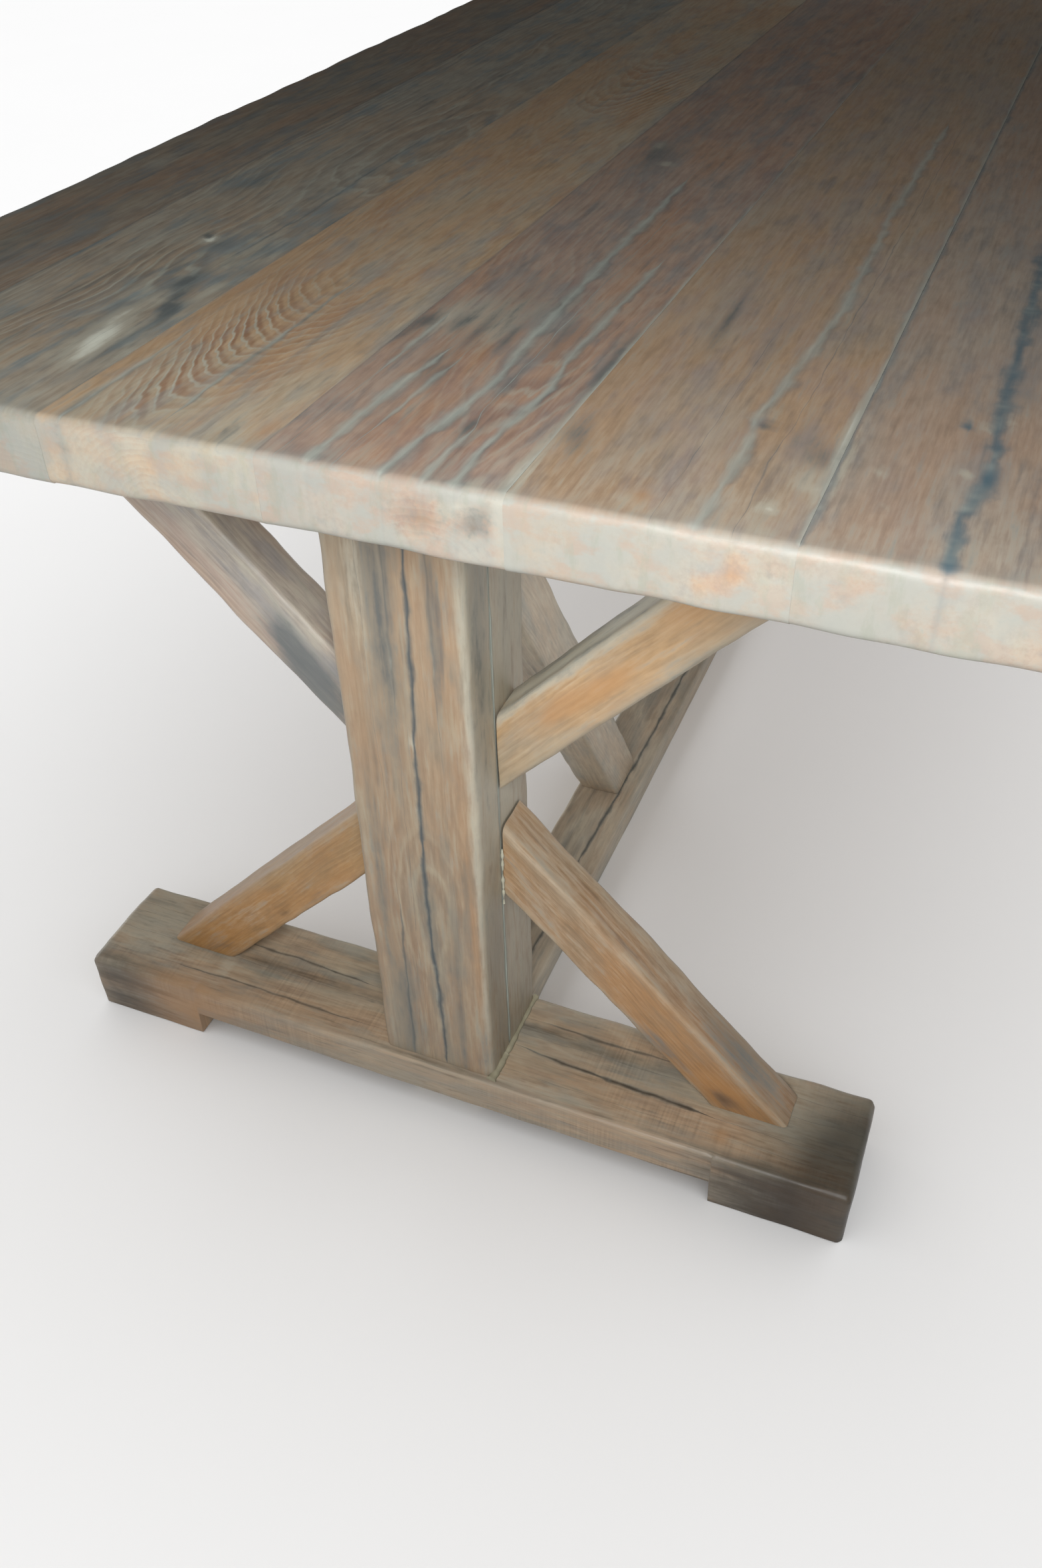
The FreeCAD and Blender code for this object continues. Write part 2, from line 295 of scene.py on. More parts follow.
    def ease(self, edges):
        """Rounds edges; each radius varies along the timber."""
        varied = []
        for number, (axis_a, side_a, axis_b, side_b, radius) in enumerate(edges):
            along = self.flat[:, 3 - axis_a - axis_b]
            swell = 1 + 0.18 * wander(along, self.seed + 10 + number, (0.37, 0.16, 0.071))
            varied.append((axis_a, side_a, axis_b, side_b, radius * np.clip(swell, 0.6, 1.4)))
            if radius > WORN_RADIUS:
                off = np.hypot(self.inside(axis_a, side_a), self.inside(axis_b, side_b))
                self.wear = np.maximum(self.wear, np.exp(-(off / (radius * 1.3)) ** 2))
        self.points = ease_edges(self.points, self.low, self.high, varied)

    def outward(self, points):
        """Outward direction at each point."""
        corners = points[self.quads]
        faces = np.cross(corners[:, 2] - corners[:, 0], corners[:, 3] - corners[:, 1])
        total = np.zeros_like(points)
        for corner in range(4):
            np.add.at(total, self.quads[:, corner], faces)
        return total / np.maximum(np.linalg.norm(total, axis=1), 1e-12)[:, None]

    def weather(self, depth, size, joints=()):
        """Sinks the skin a little, in soft swells and at the splits; a joint's side stays in its plane."""
        swells = ripple(self.flat * [0.4, 1, 1], self.seed + 3, size)
        dents = ripple(self.flat * [0.5, 1, 1], self.seed + 4, size / 4)
        inward = depth * (0.5 + 0.5 * np.clip(swells, -1, 1))
        inward += 0.25 * depth * (1 + np.clip(dents, -1, 1))
        move = self.outward(self.points) * (inward + self.sink)[:, None]
        for side in joints:
            edge = self.high[1] if side > 0 else self.low[1]
            move[np.abs(self.flat[:, 1] - edge) < 0.01 * MM, 1] = 0.0
        self.points = np.clip(self.points - move, self.low, self.high)

    def finish(self, place, material, slot, *nodes):
        """Makes the mesh, with place turning block lengths into the row frame."""
        shares = (self.points - self.low) / np.array(self.size)
        world = place(shares)
        corners = world[self.quads]
        volume = np.einsum("ij,ij->i", np.cross(corners[:, 1] - corners[:, 0], corners[:, 3] - corners[:, 0]),
                           corners.mean(1) - world.mean(0)).sum()
        quads = self.quads if volume > 0 else self.quads[:, ::-1]
        mesh = bpy.data.meshes.new(self.name)
        mesh.from_pydata(world.tolist(), [], quads.tolist())
        mesh.shade_smooth()
        mesh.set_sharp_from_angle(angle=SHARP)
        rest = self.flat + self.seed * APART
        marks = np.stack([self.split, self.tone, self.side], 1)
        finish = np.stack([self.wear, self.strength, self.figure], 1)
        for name, kind, values in (("grain", "FLOAT_VECTOR", rest), ("marks", "FLOAT_VECTOR", marks),
                                   ("tints", "FLOAT_VECTOR", self.tints), ("state", "FLOAT_VECTOR", finish),
                                   ("rings", "FLOAT", self.rings), ("soot", "FLOAT", self.soot)):
            layer = mesh.attributes.new(name, kind, "POINT")
            layer.data.foreach_set("vector" if kind == "FLOAT_VECTOR" else "value",
                                   np.asarray(values, np.float32).ravel())
        mesh.materials.append(material)
        piece = bpy.data.objects.new(self.name, mesh)
        bpy.context.scene.collection.objects.link(piece)
        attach(piece, "root")
        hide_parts(*nodes)


class Split:
    """A drying crack along the grain. Its tone is 0 where it is dark and 1 where it is filled pale."""

    def __init__(self, path, half, depth, tone, strength, seed, reach=None):
        path = sorted(path)
        self.us, self.vs = np.array([p[0] for p in path]), np.array([p[1] for p in path])
        self.half, self.depth, self.tone, self.strength = half, depth, tone, strength
        self.seed = seed
        self.start, self.end = reach or (path[0][0], path[-1][0])
        self.middle = float(np.mean(self.vs))

    def path(self, along):
        sway = SPLIT_SWAY * wander(along, self.seed, (0.19, 0.083, 0.037))
        return np.interp(along, self.us, self.vs) + sway

    def half_width(self, along):
        taper = 0.06
        ends = soft_step(0, taper, along - self.start) * soft_step(0, taper, self.end - along)
        swell = 0.85 + 0.3 * wander(along, self.seed + 1, (0.13, 0.057, 0.029))
        return self.half * ends * np.clip(swell, 0.3, 1.5)


def box_place(low, high, axes="xyz"):
    """Place of a block that lies along the row axes: axes names the row axis of u, v and w."""
    order = ["xyz".index(letter) for letter in axes.lower()]
    low, high = np.array(low), np.array(high)

    def place(shares):
        world = np.empty_like(shares)
        for own, axis in enumerate(order):
            share = 1 - shares[:, own] if axes[own].isupper() else shares[:, own]
            world[:, axis] = low[axis] + share * (high[axis] - low[axis])
        return world
    return place


def slanted_place(start, end, v_span, v_axis):
    """Place of a brace: start and end are the (near, far) corners of its two cut ends."""
    start, end = np.array(start), np.array(end)

    def place(shares):
        u, v, w = shares.T
        near = start[0] + w[:, None] * (start[1] - start[0])
        far = end[0] + w[:, None] * (end[1] - end[0])
        world = near + u[:, None] * (far - near)
        world[:, v_axis] = v_span[0] + v * (v_span[1] - v_span[0])
        return world
    return place


def cad_box(node):
    low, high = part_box(node)
    return np.array(low), np.array(high)


# ---- Shader maths ----

class Flow:
    """A node's output, which Python's sums turn into more nodes."""

    def __init__(self, shader, socket):
        self.shader, self.socket = shader, socket

    def __add__(self, other):
        return self.shader.math("ADD", self, other)

    def __sub__(self, other):
        return self.shader.math("SUBTRACT", self, other)

    def __rsub__(self, other):
        return self.shader.math("SUBTRACT", other, self)

    def __mul__(self, other):
        return self.shader.math("MULTIPLY", self, other)

    def __truediv__(self, other):
        return self.shader.math("DIVIDE", self, other)

    def __rtruediv__(self, other):
        return self.shader.math("DIVIDE", other, self)

    def __pow__(self, other):
        return self.shader.math("POWER", self, other)

    __radd__ = __add__
    __rmul__ = __mul__


class Graph:
    """A tree of nodes being built."""

    def __init__(self, tree):
        self.tree = tree

    def node(self, kind, inputs=None, output=0, **settings):
        """Adds a node: its settings come first, then the values or links of its sockets."""
        made = self.tree.nodes.new(kind)
        for key, value in settings.items():
            setattr(made, key, value)
        for key, value in (inputs or {}).items():
            self.feed(made.inputs[key], value)
        return Flow(self, made.outputs[output]) if made.outputs else None

    def feed(self, socket, value):
        """Links a flow to a socket, or sets the socket's own value."""
        if isinstance(value, Flow):
            self.tree.links.new(value.socket, socket)
        else:
            socket.default_value = value

    def math(self, operation, *values):
        return self.node("ShaderNodeMath", dict(enumerate(values)), operation=operation)

    def step(self, value, low, high):
        """0 below low and 1 above high, or the other way round."""
        return self.node("ShaderNodeMapRange", {"Value": value, "From Min": low, "From Max": high},
                         interpolation_type="SMOOTHSTEP")

    def vector(self, x, y, z):
        return self.node("ShaderNodeCombineXYZ", {"X": x, "Y": y, "Z": z})

    def parts(self, vector):
        return [self.node("ShaderNodeSeparateXYZ", {"Vector": vector}, part) for part in range(3)]

    def noise(self, vector, scale=1.0, detail=2.0, roughness=0.5):
        return self.node("ShaderNodeTexNoise", {
            "Vector": vector, "Scale": scale, "Detail": detail, "Roughness": roughness})

    def scale(self, vector, amount):
        return self.node("ShaderNodeVectorMath", {0: vector, 3: amount}, operation="SCALE")


class Shader(Graph):
    """A material being built."""

    def __init__(self, name):
        self.material = bpy.data.materials.new(name)
        self.material.use_nodes = True
        super().__init__(self.material.node_tree)
        self.tree.nodes.clear()

    def attribute(self, name, output="Vector"):
        return self.node("ShaderNodeAttribute", None, output, attribute_name=name)

    def own_place(self):
        """Place in the object's own lengths."""
        return self.node("ShaderNodeTexCoord", None, "Object")

    def mix(self, share, first, second):
        return self.node("ShaderNodeMix", {0: share, 6: first, 7: second}, 2, data_type="RGBA",
                         clamp_factor=True)

    def surface(self, colour, roughness, height=None, distance=0.5 * MM, **constants):
        """Ends the tree with its shader; a constant is named as its socket, with _ for a space."""
        sockets = {"Base Color": colour, "Roughness": roughness}
        sockets.update({key.replace("_", " "): value for key, value in constants.items()})
        if height is not None:
            relief = {"Height": height, "Strength": 1.0, "Distance": distance}
            sockets["Normal"] = self.node("ShaderNodeBump", relief)
        bsdf = self.node("ShaderNodeBsdfPrincipled", sockets)
        self.node("ShaderNodeOutputMaterial", {"Surface": bsdf})
        return self.material


def paint(red, green, blue):
    """Colour from 0-255 screen values."""
    linear = [((value / 255 + 0.055) / 1.055) ** 2.4 for value in (red, green, blue)]
    return (*linear, 1.0)


LIME = paint(172, 168, 152)
END_LIME = paint(141, 142, 135)
SLATE = paint(84, 90, 90)
FILLER = paint(136, 144, 138)
PALE_FILLER = paint(176, 182, 170)
CHALK = paint(226, 229, 214)
AMBER = paint(160, 114, 66)
BLUSH = paint(150, 128, 112)
MOSS = paint(128, 133, 121)


def timber_finish(name, body, warm, deep, pale, grey, spacing=4.2 * MM, figure=0.5, warmth=0.5, streaks=0.4,
                  greying=0.4, stains=0.4, lime=0.3, saw=0.0, edge_lime=0.3, edge=LIME, dark=SLATE,
                  waves=0.7, contrast=1.0):
    """Limed, oiled old timber, with its figure, warm and greyed bands, marks and worn edges."""
    make = Shader(name)
    u, v, w = make.parts(make.attribute("grain"))
    split, tone, side = make.parts(make.attribute("marks"))
    wear, strength, marked = make.parts(make.attribute("state"))
    pale_spot, dark_spot, warm_spot = make.parts(make.attribute("tints"))
    radius = make.attribute("rings", "Fac")
    soot = make.attribute("soot", "Fac")

    def cells(along, across, detail, roughness=0.6, shift=0):
        """Noise with so many cells to the metre along the grain and across it."""
        run = u * along + shift if shift else u * along
        return make.noise(make.vector(run, v * across, w * across), 1, detail, roughness)

    sway = cells(6, 24, 3, 0.5) - 0.5
    shiver = cells(26, 110, 2, 0.5) - 0.5
    age = radius / spacing + sway * 1.8 + shiver * waves
    year = make.math("FRACT", age)
    late = make.step(year, 0.15, 0.5) * make.step(year, 0.86, 0.62)
    limed = make.step(year, 0.66, 0.82) * make.step(year, 1.0, 0.88)
    decade = make.step(make.noise(make.vector(age * 0.23, u * 1.5, 0.0), 1, 2), 0.35, 0.62)

    fibre = cells(26, 330, 4)
    strand = cells(12, 120, 4)
    vein = cells(7, 110, 4, shift=3.3)
    broad = cells(2.6, 30, 3, 0.55)
    patch = cells(6, 13, 3, 0.55)
    cloud = cells(13, 30, 4, shift=9.1)
    bloom = cells(18, 42, 3, shift=2.7)
    mottle = cells(60, 120, 3)

    colour = make.mix(make.step(patch * 0.6 + broad * 0.4 + warm_spot * 0.3, 0.42, 0.6) * warmth, body, warm)
    colour = make.mix(make.step(cloud * 0.7 + strand * 0.3, 0.45, 0.65) * streaks, colour, deep)
    bands = figure * decade + marked
    colour = make.mix(late * bands, colour, deep)
    colour = make.mix(limed * bands * 0.8, colour, pale)
    colour = make.mix(make.step(fibre * 0.25 + strand * 0.35 + bloom * 0.4, 0.48, 0.64) * lime, colour, pale)
    film = bloom * 0.4 + broad * 0.35 + strand * 0.25
    greyed = make.step(1 - film + dark_spot * 0.12, 0.48, 0.62) * greying
    colour = make.mix(greyed, colour, grey)
    stained = make.step(vein, 0.52, 0.7) * make.step(cloud * 0.5 + broad * 0.5 + dark_spot * 0.2, 0.47, 0.6)
    colour = make.mix(stained * stains, colour, dark)
    lively = (fibre - 0.5) * 0.6 + (strand - 0.5) * 0.45 + (cloud - 0.5) * 0.6 + (mottle - 0.5) * 0.3
    lively = lively * contrast
    if saw:
        cuts = cells(420, 5, 2, 0.5)
        lively = lively + (cuts - 0.5) * make.step(patch, 0.42, 0.6) * saw
    colour = make.scale(colour, 1 + lively * (1 - wear * 0.35))

    rough_edge = (fibre * 0.3 + mottle * 0.25 + strand * 0.45 - 0.5) * 3.2
    colour = make.mix(make.step(pale_spot + rough_edge, 0.0, 1.0) * 0.65, colour, LIME)
    colour = make.mix(make.step(pale_spot + rough_edge, 1.0, 2.4) * 0.8, colour, CHALK)
    colour = make.mix(make.step(dark_spot + rough_edge, 0.0, 1.05) * 0.8, colour, dark)

    lime_film = make.step(cloud * 0.5 + patch * 0.5, 0.36, 0.56)
    bare = make.step(warm_spot + dark_spot + (mottle - 0.5) * 0.8, 0.1, 1.1)
    blush = make.step(make.noise(make.vector(u * 40 + 5.1, v * 34, w * 60), 1, 4, 0.6), 0.47, 0.62)
    moss = make.step(make.noise(make.vector(u * 40, v * 85 + 7.7, w * 26), 1, 4, 0.65), 0.5, 0.64)
    worn = make.mix(moss * 0.45, make.mix(blush * 0.5, edge, BLUSH), MOSS)
    colour = make.mix(wear * (0.55 + lime_film * 0.45) * (1 - bare * 0.7) * edge_lime, colour, worn)
    colour = make.mix(make.step(warm_spot + rough_edge * 0.5, 0.7, 2.2) * 0.48, colour, AMBER)

    ragged = split + (mottle - 0.5) * 2.2 + (strand - 0.5) * 1.6
    stretch = make.noise(make.vector(u * 22, tone * 7, 0.0), 1, 3, 0.6)
    haze = make.step(ragged, 5.5, 0.5)
    core = make.step(ragged, 2.3, -0.2)
    rim = make.step(ragged, 3.2, 1.1) * (0.35 + 0.3 * side)
    colour = make.mix(haze * haze * strength * 0.35, colour, grey)
    colour = make.mix(rim * strength * make.step(stretch, 0.35, 0.6) * 0.8, colour, dark)
    filled = make.step(tone + (stretch - 0.5) * 1.6, 0.25, 0.75)
    filling = make.mix(filled, dark, make.mix(fibre, FILLER, PALE_FILLER))
    colour = make.mix(core * strength * 0.85, colour, filling)
    # Darkens by the soot patches: real dark patches, and painted shade on the near foot's right end and the
    # lower side of the outer posts.
    colour = make.scale(colour, 1 - make.step(soot, 0.0, 1.0) * 0.78)

    relief = fibre * 0.4 + strand * 0.4 - late * 0.2 * bands + core * 0.3 * strength
    rough = 0.45 + (mottle - 0.5) * 0.2 + core * 0.2 + wear * 0.05
    return make.surface(colour, rough, relief, 0.22 * MM, Specular_IOR_Level=0.4)


class Growth(Graph):
    """A Geometry Nodes tree being built, with named inputs."""

    def __init__(self, name, inputs):
        super().__init__(bpy.data.node_groups.new(name, "GeometryNodeTree"))
        self.tree.interface.new_socket("Geometry", in_out="INPUT", socket_type="NodeSocketGeometry")
        for label, kind in inputs.items():
            self.tree.interface.new_socket(label, in_out="INPUT", socket_type="NodeSocket" + kind)
        self.tree.interface.new_socket("Geometry", in_out="OUTPUT", socket_type="NodeSocketGeometry")
        self.entry = self.tree.nodes.new("NodeGroupInput")

    def given(self, label):
        return Flow(self, self.entry.outputs[label])

    def move(self, geometry, offset):
        return self.node("GeometryNodeTransform", {"Geometry": geometry, "Translation": offset})

    def join(self, first, second):
        both = self.node("GeometryNodeJoinGeometry", {"Geometry": first})
        self.feed(both.socket.node.inputs["Geometry"], second)
        return both

    def close(self, geometry):
        """Ends the tree with a plain mesh of one material."""
        plain = self.node("GeometryNodeRealizeInstances", {"Geometry": geometry})
        coated = self.node("GeometryNodeSetMaterial", {"Geometry": plain, "Material": self.given("Material")})
        self.node("NodeGroupOutput", {"Geometry": coated})

    def grow(self, name, mesh, values):
        """Runs the tree on a mesh; the object that comes back holds the result as its own plain mesh."""
        piece = bpy.data.objects.new(name, mesh)
        bpy.context.scene.collection.objects.link(piece)
        modifier = piece.modifiers.new("growth", "NODES")
        modifier.node_group = self.tree
        for socket in self.tree.interface.items_tree:
            if socket.in_out == "INPUT" and socket.name in values:
                modifier[socket.identifier] = values[socket.name]
        bpy.context.view_layer.update()
        evaluated = piece.evaluated_get(bpy.context.evaluated_depsgraph_get())
        plain = bpy.data.meshes.new_from_object(evaluated)
        piece.modifiers.remove(modifier)
        piece.data = plain
        return piece


def screw_tree():
    """A screw at each point, standing up from its head, with a helical thread, a point and a head."""
    sizes = ("Radius", "Length", "Pitch", "Head Radius", "Neck Radius", "Head Height")
    make = Growth("screws", {**dict.fromkeys(sizes, "Float"), "Head Sides": "Int", "Has Recess": "Bool",
                             "Seed": "Int", "Material": "Material"})
    radius, length, head_height = make.given("Radius"), make.given("Length"), make.given("Head Height")
    rod = make.node("GeometryNodeMeshCylinder", {
        "Vertices": 12, "Side Segments": 110, "Radius": radius, "Depth": length})
    rod = make.move(rod, make.vector(0.0, 0.0, length * 0.5))
    x, y, z = make.parts(make.node("GeometryNodeInputPosition"))
    turn = make.math("ARCTAN2", y, x) / math.tau
    phase = make.math("FRACT", z / make.given("Pitch") + turn)
    groove = make.math("ABSOLUTE", phase * 2 - 1)
    threaded = make.step(z / length, 0.3, 0.34)
    point = make.math("MINIMUM", (length - z) / (radius * 3) + 0.08, 1.0)
    slim = (1 - groove * threaded * 0.28) * point
    place = make.vector(x * slim, y * slim, z)
    rod = make.node("GeometryNodeSetPosition", {"Geometry": rod, "Position": place})
    head = make.node("GeometryNodeMeshCone", {
        "Vertices": make.given("Head Sides"), "Radius Top": make.given("Neck Radius"),
        "Radius Bottom": make.given("Head Radius"), "Depth": head_height})
    recess = make.node("GeometryNodeMeshCylinder", {
        "Vertices": 6, "Radius": make.given("Head Radius") * 0.45, "Depth": head_height})
    recess = make.move(recess, make.vector(0.0, 0.0, head_height * -0.2))
    cut = make.node("GeometryNodeMeshBoolean", {"Mesh 1": head, "Mesh 2": recess}, operation="DIFFERENCE")
    recessed = {"Switch": make.given("Has Recess"), "False": head, "True": cut}
    head = make.node("GeometryNodeSwitch", recessed, input_type="GEOMETRY")
    spin = make.node("FunctionNodeRandomValue", {2: 0.0, 3: math.tau, "Seed": make.given("Seed")}, 1,
                     data_type="FLOAT")
    screws = make.node("GeometryNodeInstanceOnPoints", {
        "Points": make.given("Geometry"), "Instance": make.join(rod, head),
        "Rotation": make.vector(0.0, 0.0, spin)})
    make.close(screws)
    return make


def bead_tree():
    """A lumpy bead of filler along each edge path; the point attribute "bead" is its radius."""
    make = Growth("beads", {
        "Unevenness": "Float", "Lump Size": "Float", "Seed": "Float", "Material": "Material"})
    path = make.node("GeometryNodeMeshToCurve", {"Mesh": make.given("Geometry")})
    path = make.node("GeometryNodeResampleCurve", {"Curve": path, "Length": 2 * MM}, mode="LENGTH")
    place = make.node("GeometryNodeInputPosition")
    size = make.node("GeometryNodeInputNamedAttribute", {"Name": "bead"}, data_type="FLOAT")
    drift = make.scale(place, 1 / make.given("Lump Size"))
    apart = make.vector(make.given("Seed"), 0.0, 0.0)
    drift = make.node("ShaderNodeVectorMath", {0: drift, 1: apart}, operation="ADD")
    lumps = make.noise(drift, 1, 3, 0.6) - 0.5
    thick = size * (1 + lumps * make.given("Unevenness") * 4)
    thick = make.math("MAXIMUM", thick, 0.05 * MM)
    ring = make.node("GeometryNodeCurvePrimitiveCircle", {"Resolution": 8, "Radius": 1.0})
    bead = make.node("GeometryNodeCurveToMesh", {
        "Curve": path, "Profile Curve": ring, "Scale": thick, "Fill Caps": True})
    make.close(bead)
    return make


def plain_finish(name, body, deep):
    """Finish of the filler and the hidden timber, in strands that are finer across the table."""
    make = Shader(name)
    x, y, z = make.parts(make.own_place())
    strand = make.noise(make.vector(x * 40.0, y * 40.0 * 6, z * 40.0), 1, 4)
    return make.surface(make.mix(strand, body, deep), 0.55, strand, 0.2 * MM)


def steel_finish(name):
    make = Shader(name)
    grit = make.noise(make.own_place(), 900.0, 3)
    return make.surface(make.mix(grit, paint(160, 158, 150), paint(205, 203, 196)), 0.28 + grit * 0.22,
                        grit, 0.05 * MM, Metallic=1.0)


# ---- Sizes and colours that a user changes ----

def length_setting(name, description, default, low, high):
    """Setting of a length, from figures in millimetres."""
    return FloatProperty(name=name, description=description, default=default * MM, min=low * MM,
                         max=high * MM, unit="LENGTH")


def light_setting(name, description, default, high):
    return FloatProperty(name=name, description=description, default=default, min=0, max=high)


class TopSettings(PropertyGroup):
    edge_round: length_setting("Edge round", "Radius of the top's outside edges", 8, 1, 20)
    joint_ease: length_setting("Joint ease", "Radius where two planks meet", 0.35, 0, 4)
    weathering: length_setting("Weathering", "Depth of the soft swells in the planks", 0.5, 0, 3)


class TrestleSettings(PropertyGroup):
    edge_round: length_setting("Edge round", "Radius of the beams' and posts' edges", 8, 1, 20)
    brace_round: length_setting("Brace round", "Radius of the braces' long edges", 6, 1, 15)
    weathering: length_setting("Weathering", "Depth of the soft swells in the timbers", 1.1, 0, 4)


class StageSettings(PropertyGroup):
    floor_colour: FloatVectorProperty(name="Floor", description="Colour of the floor", subtype="COLOR",
                                      size=4, default=(0.86, 0.86, 0.86, 1), min=0, max=1)
    lens: FloatProperty(name="Lens", description="Focal length for a 36 mm frame on the long side",
                        default=30.345, min=10, max=200)
    key_power: light_setting("Key light", "Power of the main soft light, in watts", 21, 1000)
    far_power: light_setting("Far light", "Power of the small light over the far end, in watts", 2.6, 1000)
    fill_power: light_setting("Fill lights", "Power of the low soft lights around, in watts", 24, 1000)
    floor_power: light_setting("Floor light", "Power of the light on the floor, in watts", 14000, 100000)
    sky: light_setting("Sky", "Strength of the even light from all round", 0.06, 5)
    backdrop: light_setting("Backdrop", "Brightness of what is seen behind the floor", 0.85, 5)


# ---- Top ----

def plank_look(body, warm, deep, pale, grey, **amounts):
    """Colours of a timber from screen values, with its amounts of figure, warmth and the like."""
    colours = dict(body=body, warm=warm, deep=deep, pale=pale, grey=grey)
    return {**{key: paint(*value) for key, value in colours.items()}, **amounts}


